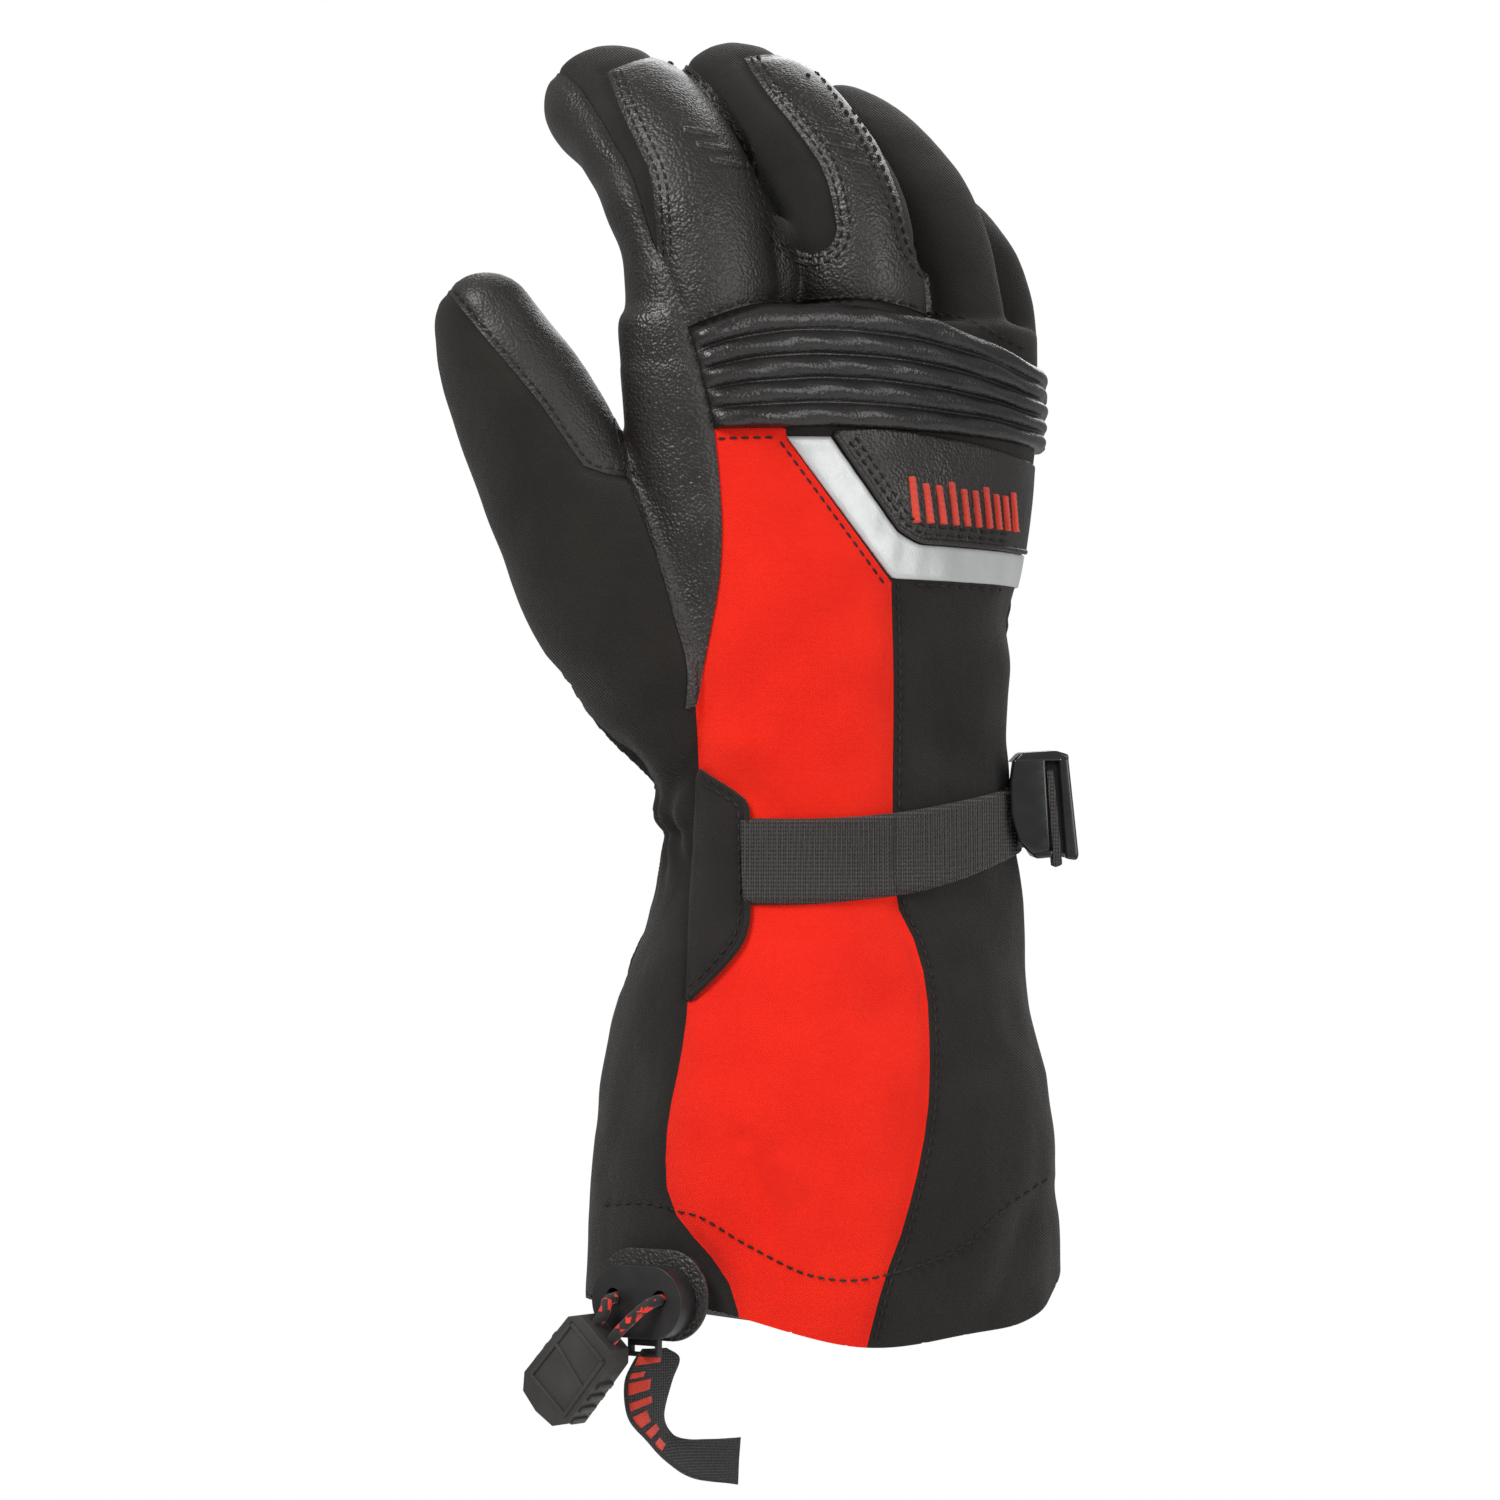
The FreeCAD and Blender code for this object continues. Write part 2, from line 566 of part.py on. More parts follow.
strap_outer = wall("strap_outer", CUFF, "(0 - 0.4 - Sizes.strap_thick)")
strap_inner = wall("strap_inner", CUFF, "(0 - 0.4)")
strap_ring = cut("strap_ring", strap_outer, strap_inner)
STRAP = ((-20, 131), (0, 131), (18, 131.4), (44, 135.5), (44, 117.5), (36, 113), (0, 106.5), (-20, 106.5))
TAB = ((-33.7, 131.6), (-28, 131.6), (-20.4, 131.6), (-20.4, 107), (-23, 96), (-37, 82.5), (-36, 104))
node("wrist_strap", common("wrist_strap", strap_ring, front_prism("strap_prism", STRAP)))
tab_outer = wall("tab_outer", CUFF, "(0 - 1.3)")
tab_ring = cut("tab_ring", tab_outer, cuff_outer)
node("strap_tab", common("strap_tab", tab_ring, front_prism("tab_prism", TAB)))

# the ladder buckle stands on edge at the little-finger side of the wrist
BUCKLE_HIGH = 27
BUCKLE_LONG = 26
BUCKLE_THICK = 4.2
SLOT = 3.4
buckle_seat = surface_frame("wrist", 200, 133)
buckle_seat.Base = buckle_seat.Base + ACROSS * 4.2


def seated(name, low, high):
    """A block on the buckle's seat: X round towards the palm, Y up, Z out of the wrist."""
    block = box(name, (0, 0, 0), tuple(top - bottom for bottom, top in zip(low, high)))
    block.Placement = buckle_seat.multiply(Placement(Vector(*low), Rotation()))
    return block


half_high = BUCKLE_HIGH / 2
plate = seated("buckle_plate", (-BUCKLE_LONG / 2, -half_high, 0), (BUCKLE_LONG / 2, half_high, BUCKLE_THICK))
slots = [seated(f"buckle_slot_{number}", (middle - SLOT / 2, -half_high + 2.2, -1),
                (middle + SLOT / 2, half_high - 2.2, BUCKLE_THICK + 1))
         for number, middle in enumerate((-8.6, 0.4, 8.2))]
node("ladder_buckle", cut("ladder_buckle", plate, *slots))

# webbing through the front slots, folded back over the outside as a short tail
TAIL_HALF = 10.8
tail_parts = [
    seated("tail_through", (-0.6, -TAIL_HALF, -1.2), (1.2, TAIL_HALF, 6.4)),
    seated("tail_over", (-0.6, -TAIL_HALF, 4.9), (12.6, TAIL_HALF, 6.4)),
    seated("tail_down", (7.2, -TAIL_HALF, -1.2), (9, TAIL_HALF, 5.5)),
    seated("tail_back", (7.2, -TAIL_HALF, -2.7), (13.4, TAIL_HALF, -1.2)),
]
node("strap_tail", fuse("strap_tail", *tail_parts))
loop_parts = [
    seated("loop_under", (-21, -TAIL_HALF, -2.6), (-8.2, TAIL_HALF, -1)),
    seated("loop_through", (-9.2, -TAIL_HALF, -2.6), (-8.2, TAIL_HALF, 6)),
    seated("loop_over", (-16.4, -TAIL_HALF, 5), (-8.2, TAIL_HALF, 6)),
    seated("loop_down", (-16.4, -TAIL_HALF, -2.6), (-15, TAIL_HALF, 6)),
]
loop_block = fuse("loop_block", *loop_parts)
node("buckle_loop", cut("buckle_loop", loop_block, wall("loop_clear", CUFF, "(0 - 0.05)")))

# ---------------------------------------------------------------- cord lock on the hem

lock_seat = surface_frame("hem", -45.5, 4.5)
lock_seat.Base = lock_seat.Base + lock_seat.Rotation.multVec(Vector(0, 0, 0.3))


def locked(local):
    """A placement given in the cord lock's own frame: X along the hem, Y up, Z out."""
    return lock_seat.multiply(Placement(Vector(*local), Rotation()))


def oval(name, length, height, thick, start, centre_y=0.0):
    """A plate with round ends: two discs and the block between them."""
    radius = height / 2
    shift = length / 2 - radius
    bar = box(f"{name}_bar", (0, 0, 0), (2 * shift, height, thick))
    bar.Placement = locked((-shift, centre_y - radius, start))
    ends = []
    for label, side in (("left", -1), ("right", 1)):
        disc = doc.addObject("Part::Cylinder", f"{name}_{label}")
        disc.Radius = radius
        disc.Height = thick
        disc.Placement = locked((side * shift, centre_y, start))
        ends.append(disc)
    return fuse(name, bar, *ends)


def lock_hole(name, x, y, radius, start, length):
    drill = doc.addObject("Part::Cylinder", name)
    drill.Radius = radius
    drill.Height = length
    drill.Placement = locked((x, y, start))
    return drill


def lock_box(name, low, high):
    block = box(name, (0, 0, 0), tuple(top - bottom for bottom, top in zip(low, high)))
    block.Placement = locked(low)
    return block


HOLE_X = 7.5
HOLE_R = 2.1
node("lock_patch", oval("lock_patch", 36, 24, 1.2, 0, 1.5))
case = oval("lock_case", 29, 19, 6.6, 1.25)
pocket = lock_box("lock_pocket", (-5.3, -12, 2.6), (5.3, 5.6, 6.4))
holes = [lock_hole(f"cord_hole_{number}", side * HOLE_X, 1.2, HOLE_R, 1.0, 9)
         for number, side in enumerate((-1, 1))]
node("lock_housing", cut("lock_housing", case, pocket, *holes))
lever_plate = lock_box("lever_plate", (-4.9, -14.5, 3), (4.9, 4.6, 4.9))
lever_pin = cylinder("lever_pin", 0.9, 9.8, Vector(0, 0, 0))
lever_pin.Placement = lock_seat.multiply(Placement(Vector(-4.9, 4.6, 3.95), Rotation(UP, Vector(1, 0, 0))))
lever_eye = lock_box("lever_eye", (-3.9, -13.4, 2), (3.9, -11.6, 6))
node("lock_lever", cut("lock_lever", fuse("lever_body", lever_plate, lever_pin), lever_eye))
spring_low = lock_box("spring_low", (-2.5, -6, 4.95), (2.5, -5.4, 6.35))
spring_leaf = lock_box("spring_leaf", (-2.5, -5.4, 5.85), (2.5, 2.5, 6.35))
node("lock_spring", fuse("lock_spring", spring_low, spring_leaf))

# pull tab and the two cord ends that carry it; it hangs below the plate, turned to the left
pull_top = lock_seat.multVec(Vector(-5.5, -7.5, 14))
LEAN = math.radians(42)
lock_right = lock_seat.Rotation.multVec(Vector(1, 0, 0))
lock_out = lock_seat.Rotation.multVec(Vector(0, 0, 1))
tab_down = (lock_right * -math.sin(LEAN) - UP * math.cos(LEAN)).normalize()
tab_side = lock_out.cross(tab_down).normalize()


def tab_point(along, side, out):
    return pull_top + tab_down * along + tab_side * side + lock_out * out


TAB_SHAPE = ((0, -6.5), (3, -9), (24, -9.5), (28, -6.5), (29, 0), (28, 6.5), (24, 9.5), (3, 9), (0, 6.5))
tab_block = prism("tab_block", [tab_point(along, side, -4) for along, side in TAB_SHAPE], lock_out, "8.5")
tab_holes = []
for number, side in enumerate((-1, 1)):
    tab_holes.append(cylinder(f"tab_hole_{number}", 1.6, 8, tab_point(-1, side * 3.2, 0.2), tab_down))
node("pull_tab", cut("pull_tab", tab_block, *tab_holes))


def bent_cord(name, points, radius):
    """A round cord through a few points: straight runs joined by tangent arcs."""
    edges = []
    last = points[0]
    for before, corner, after in zip(points, points[1:], points[2:]):
        inward = (corner - before).normalize()
        outward = (after - corner).normalize()
        turned = inward.getAngle(outward)
        run = min(before.distanceToPoint(corner), corner.distanceToPoint(after)) * 0.45
        bend_radius = run / math.tan(turned / 2)
        print(name, "arc radius", round(bend_radius, 2))
        first = corner - inward * run
        second = corner + outward * run
        bisector = (outward - inward).normalize()
        centre = corner + bisector * (bend_radius / math.cos(turned / 2))
        crown = centre - bisector * bend_radius
        edges.append(Part.LineSegment(last, first).toShape())
        edges.append(Part.Arc(first, crown, second).toShape())
        last = second
    edges.append(Part.LineSegment(last, points[-1]).toShape())
    path = Part.Wire(edges)
    mouth = Part.Wire(Part.Circle(points[0], points[1] - points[0], radius).toShape())
    tube = doc.addObject("Part::Feature", name)
    tube.Shape = path.makePipeShell([mouth], True, False)
    expected = math.pi * radius ** 2 * path.Length
    print(name, "length", round(path.Length, 1), "volume ratio", round(tube.Shape.Volume / expected, 4))
    return tube


cord_radius = value("cord_radius")
cord_runs = []
for number, side in enumerate((-1, 1)):
    hole_mouth = lock_seat.multVec(Vector(side * HOLE_X, 1.2, 3.0))
    outside = lock_seat.multVec(Vector(side * HOLE_X * 0.9, 0.4, 11.5))
    run_end = tab_point(5, side * 3.2, 0.2)
    before_end = tab_point(-3.5, side * 3.2, 0.2)
    cord_runs.append(bent_cord(f"pull_cord_{number}", [hole_mouth, outside, before_end, run_end], cord_radius))
cord_pair = doc.addObject("Part::Compound", "pull_cords")
cord_pair.Links = cord_runs
node("pull_cords", cord_pair)

# release ribbon: a narrow woven strip that hangs from the lever's eye and curls to the right
RIBBON = ((-45, -9.5), (-35, -9.5), (-38.5, -12), (-41, -16), (-43.2, -26), (-41.5, -31.2), (-34, -33),
          (-26.5, -31), (-23, -31), (-23, -43.5), (-30, -43.7), (-34.7, -42), (-41.5, -37), (-45.7, -32.5),
          (-50, -26), (-53, -20), (-54, -14))
lock_depth = lock_seat.Base.dot(TOWARDS)
ribbon = prism("release_ribbon", [front_point(across, up, lock_depth + 1.5) for across, up in RIBBON],
               TOWARDS, "1.2")
node("release_ribbon", ribbon)

# ---------------------------------------------------------------- check and write

doc.recompute()
failed = [thing.Name for thing in doc.Objects if "Invalid" in thing.State or "Error" in thing.State]
if failed:
    raise RuntimeError(f"failed objects: {failed}")
bad = [name for name, thing in nodes.items()
       if thing.Shape.isNull() or not thing.Shape.isValid() or not thing.Shape.Solids]
if bad:
    raise RuntimeError(f"bad shapes: {bad}")
os.makedirs("parts", exist_ok=True)
for name, thing in nodes.items():
    thing.Shape.exportStep(f"parts/{name}.step")
    bounds = thing.Shape.BoundBox
    print(f"{name}: {len(thing.Shape.Solids)} solids, {thing.Shape.Volume / 1000:.2f} cm3,",
          f"x {bounds.XMin:.0f}..{bounds.XMax:.0f} y {bounds.YMin:.0f}..{bounds.YMax:.0f}",
          f"z {bounds.ZMin:.0f}..{bounds.ZMax:.0f}")
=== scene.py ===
import json
import math

import bmesh
import bpy
import numpy as np
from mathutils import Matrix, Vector, noise
from mathutils.bvhtree import BVHTree


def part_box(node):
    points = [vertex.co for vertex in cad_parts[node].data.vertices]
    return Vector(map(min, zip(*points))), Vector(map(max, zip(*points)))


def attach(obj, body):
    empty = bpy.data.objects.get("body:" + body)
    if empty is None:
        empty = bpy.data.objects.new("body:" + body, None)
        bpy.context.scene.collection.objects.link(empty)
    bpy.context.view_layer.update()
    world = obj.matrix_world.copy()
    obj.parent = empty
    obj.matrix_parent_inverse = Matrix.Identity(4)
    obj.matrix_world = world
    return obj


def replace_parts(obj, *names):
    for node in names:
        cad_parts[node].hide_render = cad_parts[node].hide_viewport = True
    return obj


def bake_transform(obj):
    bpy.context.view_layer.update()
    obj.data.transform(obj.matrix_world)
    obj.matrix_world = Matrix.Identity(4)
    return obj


# Insulated gauntlet ski glove. Forms are worked out in millimetres in the CAD's frame and become
# metres when an object is made. "Front" is the photograph's view: u runs to the right across it,
# z up it, and w towards the viewer. Panels are drawn as outlines of (u, z) on that plane.

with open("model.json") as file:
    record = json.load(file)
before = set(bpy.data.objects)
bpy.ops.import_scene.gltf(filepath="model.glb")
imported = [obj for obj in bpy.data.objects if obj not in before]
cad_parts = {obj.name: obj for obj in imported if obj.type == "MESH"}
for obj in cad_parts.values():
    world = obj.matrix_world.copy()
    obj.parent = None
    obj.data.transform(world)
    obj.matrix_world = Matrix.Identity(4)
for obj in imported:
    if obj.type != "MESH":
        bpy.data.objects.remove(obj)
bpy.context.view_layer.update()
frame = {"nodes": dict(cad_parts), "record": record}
record = frame["record"]

MM = 0.001
TURN = math.radians(35)
ACROSS = np.array((math.cos(TURN), -math.sin(TURN), 0.0))
TOWARDS = np.array((-math.sin(TURN), -math.cos(TURN), 0.0))
UP = np.array((0.0, 0.0, 1.0))
FINGERS = ("index", "middle", "ring", "little")
joint_at = {joint["name"]: np.array(joint["pos_m"]) / MM for joint in record["behaviour"]["joints"]}


def box_mm(node):
    low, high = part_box(node)
    return np.array(low) / MM, np.array(high) / MM


def u_of(points):
    return points @ ACROSS


# ---------------------------------------------------------------- lines and outlines

def even(points, count):
    """Evenly spaced points along a line."""
    points = np.array(points, float)
    reach = np.r_[0, np.cumsum(np.linalg.norm(np.diff(points, axis=0), axis=1))]
    stops = np.linspace(0, reach[-1], count)
    return np.stack([np.interp(stops, reach, column) for column in points.T], 1)


def curve(points, count=12):
    """Evenly spaced points on a smooth line through a few points."""
    points = np.array(points, float)
    ends = np.vstack((2 * points[0] - points[1], points, 2 * points[-1] - points[-2]))
    fine = []
    for a, b, c, d in zip(ends, ends[1:], ends[2:], ends[3:]):
        for t in np.linspace(0, 1, 12, endpoint=False):
            fine.append(0.5 * (2 * b + (c - a) * t + (2 * a - 5 * b + 4 * c - d) * t ** 2
                               + (3 * b - a - 3 * c + d) * t ** 3))
    fine.append(points[-1])
    return even(fine, count)


def inside(points, outline):
    """Signed distance of flat points to a closed outline, positive inside it."""
    nearest = np.full(len(points), 1e9)
    within = np.zeros(len(points), bool)
    for a, b in zip(outline, np.roll(outline, -1, axis=0)):
        edge = b - a
        offset = points - a
        share = np.clip(offset @ edge / max(edge @ edge, 1e-9), 0, 1)
        nearest = np.minimum(nearest, np.linalg.norm(offset - share[:, None] * edge, axis=1))
        crosses = (a[1] > points[:, 1]) != (b[1] > points[:, 1])
        if a[1] != b[1]:
            within ^= crosses & (points[:, 0] < a[0] + offset[:, 1] * edge[0] / edge[1])
    return np.where(within, nearest, -nearest)


def line_distance(points, line):
    """Distance of points to a line, and how far along it the nearest place is, from 0 to 1."""
    nearest = np.full(len(points), 1e9)
    along = np.zeros(len(points))
    for number, (a, b) in enumerate(zip(line, line[1:])):
        edge = b - a
        share = np.clip((points - a) @ edge / (edge @ edge), 0, 1)
        distance = np.linalg.norm(points - a - share[:, None] * edge, axis=1)
        closer = distance < nearest
        nearest[closer] = distance[closer]
        along[closer] = (number + share[closer]) / (len(line) - 1)
    return nearest, along


def step(value, low, high):
    """0 below low, 1 above high, and smooth between."""
    share = np.clip((value - low) / (high - low), 0, 1)
    return share * share * (3 - 2 * share)


# ---------------------------------------------------------------- form, read from the CAD skin

CUFF_SKIN = ("cuff_back_red", "cuff_back_black", "cuff_thumb_side", "cuff_palm")
HAND_SKIN = ("palm_leather", "index_side_leather", "hand_back_leather", "ring_side_panel",
             "knuckle_panel", "hand_back_red", "hand_back_black")


def cad_tree(names):
    verts, faces = [], []
    for name in names:
        mesh = frame["nodes"][name].data
        start = len(verts)
        verts += [vert.co / MM for vert in mesh.vertices]
        faces += [[start + index for index in face.vertices] for face in mesh.polygons]
    return BVHTree.FromPolygons(verts, faces)


cad_skin = cad_tree(CUFF_SKIN + HAND_SKIN)


def cad_section(level):
    """Centre and half axes of the CAD wall at a level, from rays that come in from all round it."""
    hits = []
    for angle in np.linspace(0, 2 * math.pi, 72, endpoint=False):
        out = Vector((math.cos(angle), math.sin(angle), 0))
        hit = cad_skin.ray_cast(out * 200 + Vector((0, 0, level)), -out)[0]
        if hit is not None and hit.dot(out) > 20:
            hits.append((hit.x, hit.y))
    x, y = np.array(hits).T
    (a, b, c, d), *_ = np.linalg.lstsq(np.stack((x * x, y * y, x, y), 1), np.ones(len(x)), rcond=None)
    size = 1 + c * c / (4 * a) + d * d / (4 * b)
    return -c / (2 * a), -d / (2 * b), math.sqrt(size / a), math.sqrt(size / b)


SECTION_LEVELS = (22, 37, 57, 77, 93, 106, 118, 130, 151, 175, 200, 230, 250, 257)
sections = np.array([cad_section(level) for level in SECTION_LEVELS])


def trunk_at(levels):
    """Centre and half axes of the glove's trunk at any levels."""
    return np.stack([np.interp(levels, SECTION_LEVELS, column) for column in sections.T], 1)


# finger: bend radius, angle of the bend at the hinge and at the tip, radius at the tip, lean of the tip,
# shift of the root, and how much wider than deep it is at the root and at the tip
BENDS = {
    "index": (62, 16.9, 68, 16.8, -1, 4, 1.12, 1.14),
    "middle": (62, 15, 70, 16.3, 6, 5.5, 1.0, 1.16),
    "ring": (60, 15.5, 70, 15.7, 7, 3, 1.0, 1.1),
    "little": (50, 13.9, 68, 13.6, 7, 1, 1.0, 1.06),
}
# above this level a finger moves on its own; below it, it is part of the hand
SPLITS = {"index": 291, "middle": 291, "ring": 286.5, "little": 271}
FINGER_FLOOR = 245  # no part of a finger lies below it
CUFF_TOP = 148  # the palm side is leather above it


def finger_line(finger, steps=14):
    """Centre line of a finger, from inside the hand to the tip, with its radius at each point."""
    bend, begin, curl, tip_radius, lean, shift = BENDS[finger][:6]
    hinge = joint_at[f"{finger}_flex"]
    low, high = box_mm(f"{finger}_gusset")
    root_radius = (high[0] - low[0]) / 2 + 0.6
    begin = math.radians(begin)
    start = hinge - np.array((0, bend * (1 - math.cos(begin)), bend * math.sin(begin)))
    points, radii = [start - UP * 34 + np.array((shift, -start[1] * 0.5, 0))], [root_radius * 0.6]
    for share in np.linspace(0, 1, steps):
        angle = math.radians(curl * share)
        points.append(start + np.array((shift * (1 - share) - lean * max(share - 0.3, 0) ** 1.5 * 1.7,
                                        bend * (1 - math.cos(angle)), bend * math.sin(angle))))
        radii.append(root_radius + (tip_radius - root_radius) * share)
    return np.array(points), np.array(radii)


def rounded(points, radii, shapes=((0.45, 0.9), (0.75, 0.68), (0.93, 0.4), (1.0, 0.15))):
    """The line and radii with a round tip added."""
    heading = points[-1] - points[-2]
    heading = heading / np.linalg.norm(heading)
    tip = [points[-1] + heading * radii[-1] * reach for reach, _ in shapes]
    return np.vstack((points, tip)), np.r_[radii, [radii[-1] * share for _, share in shapes]]


def rings_along(points, radii, count=28):
    """Round rings square to a line, one for each of its points."""
    rings = []
    for number, (point, radius) in enumerate(zip(points, radii)):
        heading = points[min(number + 1, len(points) - 1)] - points[max(number - 1, 0)]
        heading = heading / np.linalg.norm(heading)
        side = np.cross((0, 1, 0), heading) if abs(heading[1]) < 0.9 else np.array((1.0, 0, 0))
        side = side - heading * (side @ heading)
        side = side / np.linalg.norm(side)
        front = np.cross(heading, side)
        turns = np.linspace(0, 2 * math.pi, count, endpoint=False)[:, None]
        rings.append(point + radius * (np.cos(turns) * side + np.sin(turns) * front))
    return rings


def lofted(rings):
    """Closed mesh through rings."""
    count = len(rings[0])
    verts = np.vstack(rings)
    faces = []
    for row in range(len(rings) - 1):
        for place in range(count):
            a, b = row * count + place, row * count + (place + 1) % count
            faces.append((a, b, b + count, a + count))
    faces.append(tuple(range(count))[::-1])
    faces.append(tuple(range(len(verts) - count, len(verts))))
    return verts, faces


TURNS = np.linspace(0, 2 * math.pi, 96, endpoint=False)


def trunk_rings(levels, inset=0.0):
    """Level rings round the trunk, some way inside its skin."""
    return [np.stack((x + (wide - inset) * np.cos(TURNS), y + (deep - inset) * np.sin(TURNS),
                      np.full(len(TURNS), level)), 1)
            for level, (x, y, wide, deep) in zip(levels, trunk_at(levels))]


# thumb: centre line as steps from its hinge, with radii
THUMB = ((20, -8, -34, 19), (14, -4, -32, 22), (-1.5, 3, -4, 22.8), (-12, 11, 23, 21.8), (-20, 18, 47, 20),
         (-26, 22.5, 62, 17.6), (-29.5, 25.5, 72, 14.5))
thumb = np.array(THUMB, float)
thumb[:, :3] += joint_at["thumb_flex"]
thumb = curve(thumb, 22)
thumb_line, thumb_radii = thumb[:, :3], thumb[:, 3]
SLIM = 0.9  # taken off the fingers' radii, so that neighbours stay apart in the union
parts = [lofted(trunk_rings(np.r_[np.arange(-22, 262, 4.0), 262, 264]))]
finger_lines = {}
for finger in FINGERS:
    line, radii = finger_line(finger)
    finger_lines[finger] = (line, radii)
    parts.append(lofted(rings_along(*rounded(line, radii - SLIM))))
parts.append(lofted(rings_along(*rounded(thumb_line, thumb_radii - 0.5))))
# webs between neighbouring fingers, up to each crotch
CROTCHES = (("index", "middle", 292, 9.5), ("middle", "ring", 280.5, 9), ("ring", "little", 265.5, 9))
for left, right, level, radius in CROTCHES:
    middle = (joint_at[f"{left}_flex"] + joint_at[f"{right}_flex"]) / 2
    middle[2] = level
    stem = np.array([middle - UP * 40, middle - UP * (radius + 12), middle - UP * radius])
    parts.append(lofted(rings_along(*rounded(stem, np.array((radius, radius, radius))))))


def union(parts, voxel):
    """One skin round overlapping closed forms."""
    verts, faces = [], []
    for part_verts, part_faces in parts:
        faces += [[len(verts) + index for index in face] for face in part_faces]
        verts += [tuple(point) for point in part_verts]
    mesh = bpy.data.meshes.new("union")
    mesh.from_pydata(verts, [], faces)
    holder = bpy.data.objects.new("union", mesh)
    bpy.context.scene.collection.objects.link(holder)
    remesh = holder.modifiers.new("remesh", "REMESH")
    remesh.mode = "VOXEL"
    remesh.voxel_size = voxel
    result = holder.evaluated_get(bpy.context.evaluated_depsgraph_get()).to_mesh()
    points = np.zeros(len(result.vertices) * 3)
    result.vertices.foreach_get("co", points)
    edges = np.zeros(len(result.edges) * 2, int)
    result.edges.foreach_get("vertices", edges)
    polygons = [tuple(face.vertices) for face in result.polygons]
    bpy.data.objects.remove(holder)
    bpy.data.meshes.remove(mesh)
    return points.reshape(-1, 3), edges.reshape(-1, 2), polygons


def normals_of(points, polygons):
    quads = np.array([face if len(face) == 4 else (*face, face[0]) for face in polygons])
    cross = np.cross(points[quads[:, 2]] - points[quads[:, 0]], points[quads[:, 3]] - points[quads[:, 1]])
    total = np.zeros_like(points)
    for corner in range(4):
        for axis in range(3):
            total[:, axis] += np.bincount(quads[:, corner], cross[:, axis], len(points))
    return total / np.maximum(np.linalg.norm(total, axis=1), 1e-9)[:, None]


def relaxed(points, edges, rounds, amount=0.5):
    """Points moved towards the middle of their neighbours."""
    degree = np.bincount(edges.ravel(), minlength=len(points))[:, None]
    for _ in range(rounds):
        total = np.stack([np.bincount(edges[:, 0], points[edges[:, 1], axis], len(points))
                          + np.bincount(edges[:, 1], points[edges[:, 0], axis], len(points))
                          for axis in range(3)], 1)
        points = points + amount * (total / np.maximum(degree, 1) - points)
    return points


VOXEL = 1.25
skin, skin_edges, skin_faces = union(parts, VOXEL)
skin = relaxed(skin, skin_edges, 10 if VOXEL < 2 else 4)
# the palm runs softly into the fingers
rear = step(-(normals_of(skin, skin_faces) @ TOWARDS), -0.1, 0.35)
roots = rear * step(skin[:, 2], 228, 250) * (1 - step(skin[:, 2], 284, 306))
skin = skin + roots[:, None] * (relaxed(skin, skin_edges, 90 if VOXEL < 2 else 25) - skin)

# ---------------------------------------------------------------- where panels and bodies lie

def outline(*pieces):
    """A closed outline from smooth pieces, each with its own number of points."""
    return np.vstack([curve(piece, count) for piece, count in pieces])


# seams on the front, as (u, z): the same seams as the CAD panels, drawn finer
SIDE_SEAM = ((-78.5, 337), (-73, 332), (-67.5, 328.5), (-62, 320), (-57.5, 312), (-52.5, 303), (-49, 293),
             (-46.5, 284), (-40.5, 270), (-37, 260), (-33.5, 249), (-30, 233), (-28, 211), (-28.4, 195),
             (-30.5, 182), (-34.8, 160))
KNUCKLE_SEAM = ((-37, 260), (-25.7, 264.5), (-12, 268), (2, 269), (16, 268), (28.6, 264.5))
RIB_FOOT = ((-30, 233.2), (-11, 233.6), (2, 234), (25, 233.4), (40, 232.6), (52, 231.5), (62, 230))
RIB_HEAD = ((-36.5, 258.6), (-25, 263), (-12, 265.6), (2, 266.3), (16, 265.4), (29, 263), (43, 258.8),
            (54, 254), (62, 250))
INDEX_STRIP_LEFT = ((-44.5, 279), (-44.8, 287), (-46.2, 300), (-50, 309), (-54.5, 319), (-58.5, 330))
INDEX_STRIP_RIGHT = ((-42, 337.5), (-39, 336.5), (-32.7, 330.5), (-26.5, 323), (-19.7, 311.5), (-18.2, 300),
                     (-14.6, 289.5))
CROTCH_U = ((-14.6, 289.5), (-10, 283), (-3.5, 281.2), (1.5, 283), (3, 288))
MIDDLE_STRIP_LEFT = ((3, 288), (1.4, 296.5), (-1.6, 305.5), (-10, 317.5), (-16.7, 326.7), (-22, 335.5))
MIDDLE_STRIP_RIGHT = ((-2.7, 336.5), (1.4, 331.5), (8.4, 320.5), (14.3, 309.2), (19.7, 294), (22.7, 283),
                      (28, 276.8), (28.6, 264.5))
RED_DIAGONAL = ((-11, 231), (17, 193))
RED_SEAM = ((17, 193), (17.6, 165), (17.3, 134), (18.2, 109), (23.2, 97.5), (26, 86), (26.8, 72), (26.5, 56),
            (24, 40), (19, 21.5), (14, 8), (7, -20))
RED_LEFT = ((-21, -20), (-24, 4), (-29, 14), (-35.5, 21.5), (-41, 29), (-42.5, 37), (-42, 51), (-39, 66),
            (-37, 80), (-36, 104), (-35.4, 118), (-34, 134), (-34.2, 148), (-34.8, 160))
THUMB_SEAM = ((-46, 219), (-53.5, 221), (-63, 222.5), (-68, 228.5), (-77.2, 241.7), (-91.8, 259.2),
              (-101, 270.5), (-112, 283))
red_outline = outline((RED_LEFT, 26), (SIDE_SEAM[:10:-1], 10), (((-30, 233.2), (-11, 233.6)), 2),
                      (RED_DIAGONAL, 2), (RED_SEAM, 26))
side_outline = outline((((-130, 160), (-130, 345)), 2), (((-130, 345), (-78.5, 337)), 2), (SIDE_SEAM, 34))
